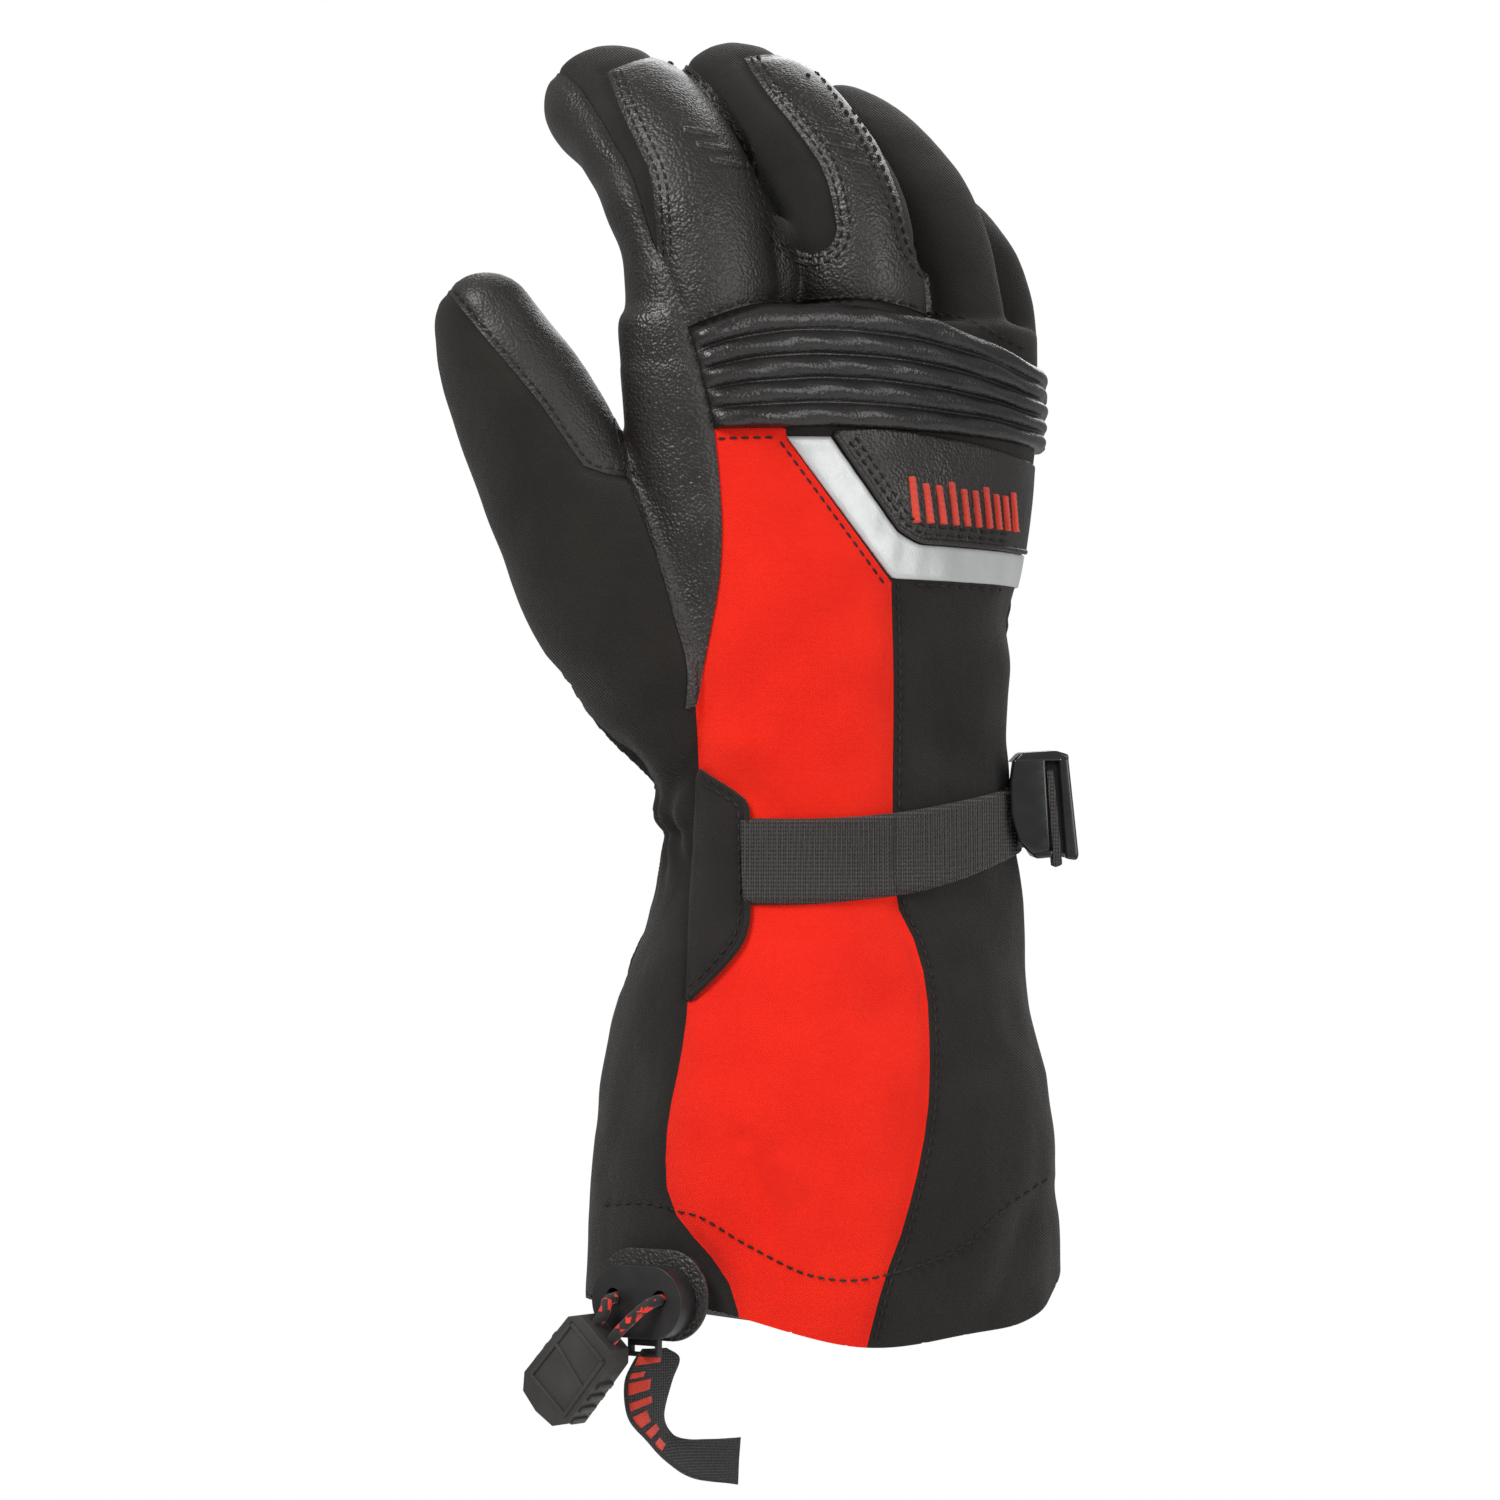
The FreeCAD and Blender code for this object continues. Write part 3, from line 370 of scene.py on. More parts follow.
back_outline = outline((INDEX_STRIP_LEFT, 10), (INDEX_STRIP_RIGHT, 12), (CROTCH_U, 10),
                       (MIDDLE_STRIP_LEFT, 10), (((-22, 336), (-6, 338.5)), 2), (MIDDLE_STRIP_RIGHT, 14),
                       (KNUCKLE_SEAM[::-1], 10), (((-40.5, 270), (-44.5, 279)), 3))
thumb_outline = outline((THUMB_SEAM, 16), (((-112, 290), (-40, 290), (-40, 219)), 3))
OUTLINES = (red_outline, side_outline, back_outline)


def flat(points):
    return np.stack((u_of(points), points[:, 2]), 1)


def thumb_field(points):
    """Above 0 on the thumb, a little way out of the trunk."""
    x, y, wide, deep = trunk_at(points[:, 2]).T
    ratio = np.hypot((points[:, 0] - x) / wide, (points[:, 1] - y) / deep)
    clear = (ratio - 1) * np.sqrt(wide * deep) - 3
    distance, along = line_distance(points, thumb_line)
    radius = np.interp(along * (len(thumb_radii) - 1), np.arange(len(thumb_radii)), thumb_radii)
    return np.minimum(clear, radius + 7 - distance)


def finger_of(points):
    """Number of the finger whose centre line is nearest."""
    reach = np.stack([line_distance(points, finger_lines[finger][0])[0] / finger_lines[finger][1][0]
                      for finger in FINGERS])
    return reach.argmin(0)


def finger_field(points):
    """Above 0 where a finger moves on its own."""
    return points[:, 2] - np.array([SPLITS[finger] for finger in FINGERS])[finger_of(points)]


GROUPS = ("hand", *FINGERS, "thumb")
THUMB_GROUP = len(GROUPS) - 1


def group_of(points):
    """Number in GROUPS of the part that each point belongs to."""
    on_its_own = (finger_field(points) > 0) & (points[:, 2] > FINGER_FLOOR)
    return np.where(thumb_field(points) > 0, THUMB_GROUP, np.where(on_its_own, 1 + finger_of(points), 0))


FRONT_LIMIT = -0.3


def facing(front):
    """Above 0 on the front half, to just behind the edges that the photograph shows."""
    return (front - FRONT_LIMIT) * 12


# the hem's arc, through its heights at three places along X
hem_heights = np.polyfit((-80, -4, 80), (10, -7, 19), 2)


def above_hem(points):
    """Height above the hem's wavy edge."""
    wave = 0.9 * np.sin(points[:, 0] * 0.11 + 1) + 0.6 * np.sin(points[:, 1] * 0.17)
    return points[:, 2] - np.polyval(hem_heights, points[:, 0]) - wave


# ---------------------------------------------------------------- seams, folds and gathers

def bumps(points, scale, seed):
    """Smooth noise from -1 to 1, scale millimetres across."""
    offset = Vector((seed * 31.7, seed * 11.3, seed * 7.1))
    return np.array([noise.noise(Vector(point) / scale + offset) for point in points])


normals = normals_of(skin, skin_faces)
uz = flat(skin)
front = normals @ TOWARDS
on_thumb = thumb_field(skin) > -2
seam = np.full(len(skin), 99.0)
for closed in OUTLINES:
    seam = np.minimum(seam, np.where((front > FRONT_LIMIT - 0.1) & ~on_thumb, abs(inside(uz, closed)), 99))
thumb_seam = np.where(on_thumb & (front > -0.1), abs(inside(uz, thumb_outline)), 99)
edge_seam = abs(front - FRONT_LIMIT) * 24
cuff_end = abs(skin[:, 2] - CUFF_TOP) + 40 * (front > FRONT_LIMIT)
seam = np.minimum.reduce((seam, thumb_seam, edge_seam, cuff_end))
lift = -0.75 * np.exp(-(seam / 1.7) ** 2) + 0.75 * (1 - np.exp(-seam / 7)) - 0.3

angle = np.arctan2(skin[:, 1], skin[:, 0] - 4)
level = skin[:, 2]
# elastic gathers round the palm side of the wrist and as far as the strap's tab
gather = np.maximum(step(-uz[:, 0], 34, 42), step(-front, 0.05, 0.4)) * ~on_thumb
ripple = np.sin(angle * 46 + 1.6 * np.sin(level * 0.21) + 1.3 * np.sin(angle * 9))
lift += gather * 1.5 * ripple * np.exp(-((level - 127) / 11) ** 2)
lift -= gather * 1.7 * np.exp(-((level - 126) / 2.6) ** 2)
lift += gather * 1.2 * (np.exp(-((level - 134) / 5) ** 2) + np.exp(-((level - 117) / 5) ** 2))

# soft folds, each from one place to another on the front, with its width and depth
FOLDS = ((-24, 50, -20, 44, 3, -1.0), (-20, 47, -12, 12, 4, -1.5), (-13, 44, -6, 30, 5, 1.2),
         (-30, 142, -8, 128, 5, -1.1), (-33, 152, -12, 148, 5, 0.8), (-20, 104, 6, 96, 5, -0.9),
         (20, 152, 42, 146, 7, -1.3), (46, 190, 60, 176, 7, -1.6), (22, 96, 40, 88, 6, -0.8),
         (50, 14, 62, 34, 5, -1.6), (36, 0, 44, 26, 6, 1.3), (-60, 44, -48, 70, 8, -1.2),
         (-58, 84, -44, 104, 6, -1.4), (-66, 156, -48, 141, 4, -1.9), (-60, 147, -44, 136, 3, -1.4),
         (-76, 172, -56, 158, 5, -1.2), (26, 178, 34, 140, 9, -0.9), (44, 120, 56, 60, 9, -1.2),
         (-34, 24, -30, -4, 5, -1.2), (6, 60, 14, 14, 8, 0.7), (40, 262, 52, 256, 4, -0.7))
for u0, z0, u1, z1, width, depth in FOLDS:
    distance, along = line_distance(uz, np.array(((u0, z0), (u1, z1)), float))
    fade = np.sin(math.pi * np.clip(along * 0.9 + 0.05, 0, 1))
    lift += (front > -0.2) * 1.45 * depth * fade * np.exp(-(distance / width) ** 2)
soft = ~((front > 0.2) & (inside(uz, back_outline) > 0))
lift += 1.7 * bumps(skin, 34, 1) * np.where(level > 250, 0.5, 1.0) + 0.6 * soft * bumps(skin, 13, 2)
# fingers get back what was taken off to keep them apart, and are wider than they are deep
on_finger = step(finger_field(skin), -14, 6) * (level > 240)
lift += on_finger * (SLIM - 0.2)
nearest = finger_of(skin)
for number, finger in enumerate(FINGERS):
    line = finger_lines[finger][0]
    _, along = line_distance(skin, line)
    centre = np.interp(along * (len(line) - 1), np.arange(len(line)), line[:, 0])
    root_width, tip_width = BENDS[finger][6:]
    widen = (root_width + (tip_width - root_width) * step(along, 0.2, 0.9) - 1) * on_finger
    skin[:, 0] += (skin[:, 0] - centre) * (widen * (nearest == number))
skin = skin + normals * lift[:, None]
skin = relaxed(skin, skin_edges, 1, 0.4)
normals = normals_of(skin, skin_faces)
skin_tree = BVHTree.FromPolygons([Vector(point) for point in skin], skin_faces)

# ---------------------------------------------------------------- cut the skin along its seams

cut_mesh = bmesh.new()
normal_layer = cut_mesh.verts.layers.float_vector.new("rest_normal")
front_layer = cut_mesh.verts.layers.float.new("front")
cut_verts = [cut_mesh.verts.new(point) for point in skin]
for vert, normal, towards in zip(cut_verts, normals, front):
    vert[normal_layer] = Vector(normal)
    vert[front_layer] = towards
for face in skin_faces:
    cut_mesh.faces.new([cut_verts[index] for index in face])


def arrays():
    """The mesh's points, and how far the smooth form faces the front at each."""
    return (np.array([vert.co[:] for vert in cut_mesh.verts]),
            np.array([vert[front_layer] for vert in cut_mesh.verts]))


def carve(field):
    """Cuts faces exactly along the line where a field of the mesh's arrays is 0."""
    cut_mesh.verts.index_update()
    values = field(*arrays())
    edges = list(cut_mesh.edges)
    ends = np.array([(edge.verts[0].index, edge.verts[1].index) for edge in edges])
    added = set()
    for index in np.nonzero(values[ends[:, 0]] * values[ends[:, 1]] < 0)[0]:
        first, second = values[ends[index, 0]], values[ends[index, 1]]
        share = min(max(first / (first - second), 0.06), 0.94)
        added.add(bmesh.utils.edge_split(edges[index], edges[index].verts[0], share)[1])
    for face in {face for vert in added for face in vert.link_faces}:
        cuts = [vert for vert in face.verts if vert in added]
        if len(cuts) == 2:
            bmesh.utils.face_split(face, cuts[0], cuts[1])


AWAY = -30  # a field's value where it cuts nothing


def on_front(closed, thumb=False):
    """The field of an outline on the front of the thumb, or of all the rest."""
    def field(points, front):
        there = (facing(front) > -2) & ((thumb_field(points) > -0.8) == thumb)
        return np.where(there, inside(flat(points), closed), AWAY)
    return field


carve(lambda points, front: above_hem(points))
cut_mesh.verts.index_update()
below_hem = above_hem(arrays()[0]) < -1e-3
bmesh.ops.delete(cut_mesh, geom=[vert for vert, low in zip(list(cut_mesh.verts), below_hem) if low],
                 context="VERTS")
carve(lambda points, front: thumb_field(points))
carve(lambda points, front: np.where(points[:, 2] > FINGER_FLOOR, finger_field(points), AWAY))
carve(lambda points, front: facing(front))
carve(lambda points, front: np.where(facing(front) < 1, points[:, 2] - CUFF_TOP, AWAY))
for closed in OUTLINES:
    carve(on_front(closed))
carve(on_front(thumb_outline, True))
cut_mesh.verts.index_update()
cut_points, cut_front = arrays()
cut_normals = np.array([vert[normal_layer].normalized()[:] for vert in cut_mesh.verts])
cut_faces = [[vert.index for vert in face.verts] for face in cut_mesh.faces]
cut_mesh.free()
middles = np.array([cut_points[face].mean(0) for face in cut_faces])
face_front = np.array([cut_front[face].mean() for face in cut_faces])
group = group_of(middles)
is_thumb = group == THUMB_GROUP
is_front = facing(face_front) > 0
flat_middles = flat(middles)
in_red, in_side, in_back = (inside(flat_middles, closed) > 0 for closed in OUTLINES)
is_leather = np.where(is_thumb, ~is_front | (inside(flat_middles, thumb_outline) > 0),
                      np.where(is_front, in_side | in_back, middles[:, 2] > CUFF_TOP))
panel = np.select((is_leather & is_front & in_back, is_leather & is_front & ~is_thumb, is_leather,
                   is_front & in_red & ~is_thumb), (3, 2, 1, 4), 0)
PANELS = ("shell", "palm", "side", "back", "red")

# ---------------------------------------------------------------- materials

class Paint:
    """A procedural material: shader sockets, and helpers that add its nodes."""

    def __init__(self, name, colour, roughness, **sockets):
        self.material = bpy.data.materials.new(name)
        self.material.use_nodes = True
        self.tree = self.material.node_tree
        self.shader = self.tree.nodes["Principled BSDF"]
        self.shader.inputs["Base Color"].default_value = (*colour, 1)
        self.shader.inputs["Roughness"].default_value = roughness
        for socket, amount in sockets.items():
            self.shader.inputs[socket.replace("_", " ")].default_value = amount
        place = self.tree.nodes.new("ShaderNodeTexCoord")
        turned = self.tree.nodes.new("ShaderNodeMapping")
        turned.inputs["Rotation"].default_value = (0, 0, TURN)
        self.link(place.outputs["Object"], turned.inputs["Vector"])
        self.place = turned.outputs["Vector"]
        self.height = None

    def link(self, source, target):
        self.tree.links.new(source, target)

    def texture(self, kind, scale, vector=None, **settings):
        """A texture node, with settings for its sockets or its own properties."""
        node = self.tree.nodes.new(f"ShaderNodeTex{kind}")
        node.inputs["Scale"].default_value = scale
        self.link(vector or self.place, node.inputs["Vector"])
        for key, amount in settings.items():
            if key in node.inputs:
                node.inputs[key].default_value = amount
            else:
                setattr(node, key, amount)
        return node

    def squeezed(self, scale):
        """The place on the surface, scaled along each axis."""
        node = self.tree.nodes.new("ShaderNodeMapping")
        node.inputs["Scale"].default_value = scale
        self.link(self.place, node.inputs["Vector"])
        return node.outputs["Vector"]

    def ramp(self, source, stops):
        """Colours or grey levels at stops of a source."""
        node = self.tree.nodes.new("ShaderNodeValToRGB")
        while len(node.color_ramp.elements) < len(stops):
            node.color_ramp.elements.new(0.5)
        for element, (place, colour) in zip(node.color_ramp.elements, stops):
            element.position = place
            element.color = (*colour, 1) if hasattr(colour, "__len__") else (colour, colour, colour, 1)
        self.link(source, node.inputs["Fac"])
        return node.outputs["Color"]

    def tint(self, dark, light, scale, top=0.7):
        """Colour that drifts between two over the surface."""
        drift = self.texture("Noise", scale, Detail=4).outputs["Fac"]
        self.link(self.ramp(drift, ((0.3, dark), (top, light))), self.shader.inputs["Base Color"])

    def worn(self, low, high, scale):
        """Roughness that drifts between two values."""
        self.link(self.ramp(self.texture("Noise", scale, Detail=3).outputs["Fac"], ((0.3, low), (0.7, high))),
                  self.shader.inputs["Roughness"])

    def bump(self, source, depth):
        """Relief of a depth in millimetres, on top of what is there already."""
        node = self.tree.nodes.new("ShaderNodeBump")
        node.inputs["Distance"].default_value = depth * MM
        node.inputs["Strength"].default_value = 1.0
        self.link(source, node.inputs["Height"])
        if self.height:
            self.link(self.height, node.inputs["Normal"])
        self.height = node.outputs["Normal"]
        self.link(self.height, self.shader.inputs["Normal"])

    def grain(self, scale, detail, depth):
        self.bump(self.texture("Noise", scale, Detail=detail).outputs["Fac"], depth)


def bands(pitch):
    """Scale of a wave texture whose bands lie pitch millimetres apart."""
    return 2 * math.pi / (10 * pitch * MM)


def twill(name, dark, light, pitch=0.85, depth=0.16, **sockets):
    """Cloth with fine slanted ribs that cross."""
    paint = Paint(name, light, 0.9, Specular_IOR_Level=0.25, **sockets)
    paint.tint(dark, light, 55)
    for scale, share in (((1, 0, 1), 1.0), ((1, 0, -1.7), 0.45)):
        wave = paint.texture("Wave", bands(pitch), paint.squeezed(scale), bands_direction="DIAGONAL",
                             Distortion=0.2)
        paint.bump(wave.outputs["Fac"], depth * share)
    paint.grain(260, 3, 0.25)
    return paint.material


def leather(name, dark, light, pebble, depth, low=0.36, high=0.56):
    """Pebbled leather, with its roughness between low and high."""
    paint = Paint(name, light, 0.45, Specular_IOR_Level=0.55, Coat_Weight=0.06, Coat_Roughness=0.35)
    paint.tint(dark, light, 30, 0.72)
    paint.worn(low, high, 90)
    pebbles = paint.texture("Voronoi", 1 / (pebble * MM), Randomness=0.9, feature="SMOOTH_F1")
    paint.bump(paint.ramp(pebbles.outputs["Distance"], ((0.1, 1.0), (0.75, 0.0))), depth)
    paint.grain(420, 5, 0.22)
    paint.grain(60, 2, 0.3)
    return paint.material


BLACK_TWILL = twill("black_softshell", (0.012, 0.0098, 0.0082), (0.0185, 0.0152, 0.0127), Sheen_Weight=0.1,
                    Sheen_Roughness=0.5)
RED_TWILL = twill("red_softshell", (0.86, 0.012, 0.002), (0.95, 0.018, 0.003), Sheen_Weight=0.05)
LEATHER = leather("goat_leather", (0.0095, 0.0074, 0.0064), (0.018, 0.0142, 0.0124), 0.8, 0.24)
RIB_LEATHER = leather("rib_leather", (0.008, 0.0068, 0.0063), (0.015, 0.0126, 0.0118), 0.7, 0.1, 0.24, 0.42)
PALM_LEATHER = leather("palm_leather", (0.011, 0.0092, 0.0082), (0.018, 0.015, 0.0136), 0.75, 0.18, 0.45,
                       0.65)
THREAD = twill("dark_thread", (0.02, 0.018, 0.017), (0.045, 0.04, 0.038), 0.35, 0.08)
RED_THREAD = twill("red_thread", (0.62, 0.03, 0.012), (0.9, 0.06, 0.025), 0.4, 0.12, Sheen_Weight=0.3)
FLEECE = twill("fleece_lining", (0.008, 0.008, 0.0085), (0.018, 0.018, 0.019), 1.6, 0.5, Sheen_Weight=0.2)


def film():
    """Reflective tape with a fine grain of beads."""
    paint = Paint("reflective_film", (0.55, 0.56, 0.56), 0.42, Metallic=0.35, Sheen_Weight=0.2)
    paint.tint((0.5, 0.51, 0.51), (0.62, 0.63, 0.63), 45)
    paint.bump(paint.texture("Voronoi", 1 / (0.35 * MM)).outputs["Distance"], 0.06)
    paint.grain(90, 3, 0.5)
    return paint.material


def moulded(name, dark, light, low, high, grain, **sockets):
    """Moulded plastic or rubber, with its roughness between low and high."""
    paint = Paint(name, light, low, **sockets)
    paint.tint(dark, light, 80)
    paint.worn(low, high, 220)
    paint.grain(900, 4, grain)
    return paint.material


def webbing(name, pitch, dark, light, depth=0.3):
    """Woven tape: columns, with rows across them; its colour is painted shade, darker in the grooves between
    the columns and lighter on their raised tops.
    """
    paint = Paint(name, light, 0.7, Sheen_Weight=0.15)
    columns = paint.texture("Wave", bands(pitch), bands_direction="X")
    rows = paint.texture("Wave", bands(pitch * 1.6), bands_direction="Z")
    # painted shade: the colour follows the columns' relief, dark in the grooves between them and light on
    # their raised tops
    paint.link(paint.ramp(columns.outputs["Fac"], ((0.1, dark), (0.8, light))),
               paint.shader.inputs["Base Color"])
    paint.bump(columns.outputs["Fac"], depth)
    paint.bump(rows.outputs["Fac"], depth * 0.7)
    paint.grain(1500, 2, 0.12)
    return paint.material


def braid(name, dark, fleck):
    """Round cord: dark strands with flecks of a second colour."""
    paint = Paint(name, dark, 0.75, Sheen_Weight=0.2)
    flecks = paint.texture("Voronoi", 1 / (1.5 * MM), Randomness=0.35, distance="CHEBYCHEV")
    paint.link(paint.ramp(flecks.outputs["Color"], ((0.6, dark), (0.66, fleck))),
               paint.shader.inputs["Base Color"])
    paint.bump(flecks.outputs["Distance"], 0.35)
    return paint.material


FILM = film()
CORD = braid("braided_cord", (0.01, 0.009, 0.0085), (0.8, 0.025, 0.008))
GLOSS_BLACK = moulded("glossy_plastic", (0.008, 0.008, 0.008), (0.016, 0.016, 0.016), 0.16, 0.3, 0.02,
                      Specular_IOR_Level=0.6)
SATIN_BLACK = moulded("satin_plastic", (0.01, 0.01, 0.01), (0.018, 0.018, 0.018), 0.34, 0.48, 0.05)
TAB_RUBBER = moulded("tab_rubber", (0.022, 0.021, 0.019), (0.04, 0.038, 0.035), 0.5, 0.66, 0.12)
# each webbing's darker colour is painted shade in the grooves between its columns
STRAP_WEB = webbing("strap_webbing", 1.3, (0.007, 0.0058, 0.005), (0.06, 0.05, 0.043), depth=0.45)
RIBBON_WEB = webbing("ribbon_webbing", 0.9, (0.008, 0.008, 0.008), (0.025, 0.024, 0.023))

# ---------------------------------------------------------------- pieces


def placed(mesh, material, slot=None):
    """The mesh in the scene, with one material."""
    mesh.materials.clear()
    mesh.materials.append(material)
    piece = bpy.data.objects.new(mesh.name, mesh)
    bpy.context.scene.collection.objects.link(piece)
    return piece if slot else piece


def make(name, verts, faces, material, slot=None):
    """A smooth mesh object from points in millimetres."""
    mesh = bpy.data.meshes.new(name)
    mesh.from_pydata([tuple(point) for point in np.asarray(verts) * MM], [], [tuple(face) for face in faces])
    mesh.polygons.foreach_set("use_smooth", [True] * len(mesh.polygons))
    return placed(mesh, material, slot)


thumb_edge = cut_points[[index for face, on_it in zip(cut_faces, is_thumb) if on_it for index in face]]
THUMB_START = thumb_edge[abs(thumb_field(thumb_edge)) < 0.3][:, 0].min()


def follow(piece, label):
    """Bakes a piece's placement into its mesh, the same for every group."""
    if label == 0:
        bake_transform(piece)
    elif label == THUMB_GROUP:
        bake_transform(piece)
    else:
        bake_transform(piece)
    return piece


def panel_piece(name, faces, material, slot, raise_by, thick=1.3):
    """Part of the skin as a cloth or leather piece with its own thickness at the edges."""
    used = np.unique([index for face in faces for index in face])
    number_of = {old: new for new, old in enumerate(used)}
    top = [[number_of[index] for index in face] for face in faces]
    points, directions = cut_points[used], cut_normals[used]
    sides = dict.fromkeys(pair for face in top for pair in zip(face, face[1:] + face[:1]))
    border = [pair for pair in sides if pair[::-1] not in sides]
    rim = sorted({index for pair in border for index in pair})
    below = {index: len(points) + number for number, index in enumerate(rim)}
    verts = np.vstack((points + directions * raise_by, points[rim] - directions[rim] * thick))
    walls = [(b, a, below[a], below[b]) for a, b in border]
    piece = make(name, verts, top + walls, material, slot)
    mesh = piece.data
    mesh.update()
    loops = np.zeros((len(mesh.loops), 3))
    for number, face in enumerate(mesh.polygons):
        for loop in face.loop_indices:
            rest = number < len(top)
            loops[loop] = directions[mesh.loops[loop].vertex_index] if rest else face.normal
    mesh.normals_split_custom_set([tuple(normal) for normal in loops])
    return piece


# each panel's material, its slot, and how far it stands off the skin
LOOKS = {
    "shell": (BLACK_TWILL, "black_softshell", 0.0),
    "palm": (PALM_LEATHER, "leather", 0.25),
    "side": (LEATHER, "leather", 0.45),
    "back": (LEATHER, "leather", 0.7),
    "red": (RED_TWILL, "red_softshell", 0.0),
}
STANDS_FOR = {
    "shell_hand": ("cuff_back_black", "cuff_thumb_side", "cuff_palm", "hand_back_black", "ring_side_panel",
                   "wrist_elastic", "wrist_gusset", "thumb_gusset", "cuff_insulation", "hand_insulation",
                   *(f"{finger}_gusset" for finger in FINGERS)),
    "red_hand": ("cuff_back_red", "hand_back_red"),
    "palm_hand": ("palm_leather",),
    "side_hand": ("index_side_leather",),
    "back_hand": ("hand_back_leather",),
    "back_index": ("index_strip",),
    "back_middle": ("middle_strip",),
    "shell_thumb": ("thumb_back", "thumb_liner"),
    "palm_thumb": ("thumb_palm",),
    **{f"shell_{finger}": (f"{finger}_back", f"{finger}_liner") for finger in FINGERS},
    **{f"palm_{finger}": (f"{finger}_palm",) for finger in FINGERS},
}
for number, kind in enumerate(PANELS):
    for label, body in enumerate(GROUPS):
        faces = [cut_faces[index] for index in np.nonzero((panel == number) & (group == label))[0]]
        if not faces:
            continue
        key = f"{kind}_{body}"
        finish, slot, raise_by = LOOKS[kind]
        piece = follow(panel_piece(key, faces, finish, slot, raise_by), label)
        if key in STANDS_FOR:
            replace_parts(piece, *STANDS_FOR[key])

# ---------------------------------------------------------------- pieces fitted to the skin

EDGE_TURN = 4.0  # how far inside the edge that axis stands


def on_skin(places, wrap=False):
    """Where points (u, z) of the front plane meet the skin, and the skin's direction there.

    With wrap, a piece that reaches the trunk's right edge goes on round it: its rays turn about an
    upright axis that stands a little way inside the edge.
    """
    spots, outs = [], []
    for u, z in places:
        base, towards = ACROSS * u + UP * z, TOWARDS
        if wrap:
            x, y, wide, deep = trunk_at([z])[0]
            half = math.hypot(wide * ACROSS[0], deep * ACROSS[1])
            edge = x * ACROSS[0] + y * ACROSS[1] + half
            share = 1 + (u - edge) / EDGE_TURN
            if share > 0:
                turn = math.asin(share) if share < 1 else math.pi / 2 + share - 1
                towards = TOWARDS * math.cos(turn) + ACROSS * math.sin(turn)
                depth = np.array((x, y, 0)) @ TOWARDS + ACROSS[0] * ACROSS[1] * (wide ** 2 - deep ** 2) / half
                base = ACROSS * (edge - EDGE_TURN) + TOWARDS * depth + UP * z
        hit = skin_tree.ray_cast(Vector(base + towards * 200), Vector(-towards))
        if hit[0] is None:
            hit = skin_tree.find_nearest(Vector(base))
        spots.append(hit[0])
        outs.append(normals[list(skin_faces[hit[2]])].mean(0))
    return np.array(spots), np.array(outs)


def averaged(grid, rounds):
    """A grid of vectors with each row and column evened out."""
    for _ in range(rounds):
        wide = np.pad(grid, ((1, 1), (1, 1), (0, 0)), "edge")
        grid = (wide[1:-1, 1:-1] * 2 + wide[:-2, 1:-1] + wide[2:, 1:-1]
                + wide[1:-1, :-2] + wide[1:-1, 2:]) / 6
    return grid


def slab(top, under):
    """Closed mesh between two grids of points."""
    rows, columns = top.shape[:2]
    count = rows * columns
    verts = np.vstack((top.reshape(-1, 3), under.reshape(-1, 3)))
    faces = []
    for row in range(rows - 1):
        for column in range(columns - 1):
            a = row * columns + column
            faces.append((a, a + 1, a + columns + 1, a + columns))
            faces.append((a + columns + count, a + columns + 1 + count, a + 1 + count, a + count))
    ring = ([*range(columns)] + [row * columns + columns - 1 for row in range(1, rows)]
            + [(rows - 1) * columns + column for column in range(columns - 2, -1, -1)]
            + [row * columns for row in range(rows - 2, 0, -1)])
    for a, b in zip(ring, ring[1:] + ring[:1]):
        faces.append((b, a, a + count, b + count))
    return verts, faces


def patch(name, low, high, rows, material, slot, height, even_out=1, sunk=0.6, wrap=False):
    """A fitted piece between two lines on the front; height(s, t) is how far it stands off the skin."""
    low, high = np.asarray(low), np.asarray(high)
    t = np.r_[0, np.linspace(0.02, 0.98, rows), 1][:, None]
    s = np.linspace(0, 1, len(low))[None, :]
    places = low[None] * (1 - t[..., None]) + high[None] * t[..., None]
    spots, outs = on_skin(places.reshape(-1, 2), wrap)
    shape = (*places.shape[:2], 3)
    spots = averaged(spots.reshape(shape), even_out)
    outs = averaged(outs.reshape(shape), 2 + even_out)
    outs = outs / np.linalg.norm(outs, axis=2)[..., None]
    rise = height(s, t) + 0 * s * t
    edge = np.ones_like(rise)
    edge[[0, -1], :] = 0.45
    edge[:, [0, -1]] = 0.45
    top = spots + outs * (rise * edge)[..., None]
    verts, faces = slab(top, spots - outs * sunk)
    return make(name, verts, faces, material, slot)


def bent(*pieces):
    """A line with sharp corners: each piece is two or more points and how many to make of them."""
    return np.vstack([even(points, count)[:-1] for points, count in pieces] + [[pieces[-1][0][-1]]])


def beside(line, offset):
    """A line moved to its left by an offset."""
    line = np.asarray(line, float)
    heading = np.gradient(line, axis=0)
    heading = heading / np.linalg.norm(heading, axis=1)[:, None]
    return line + np.stack((-heading[:, 1], heading[:, 0]), 1) * offset


def joined(shapes):
    """Several closed meshes as one."""
    verts, faces = [], []
    for shape_verts, shape_faces in shapes:
        start = sum(len(block) for block in verts)
        verts.append(np.asarray(shape_verts))
        faces += [[start + index for index in face] for face in shape_faces]
    return np.vstack(verts), faces


PITCH, THREAD_RADIUS = 2.9, 0.36


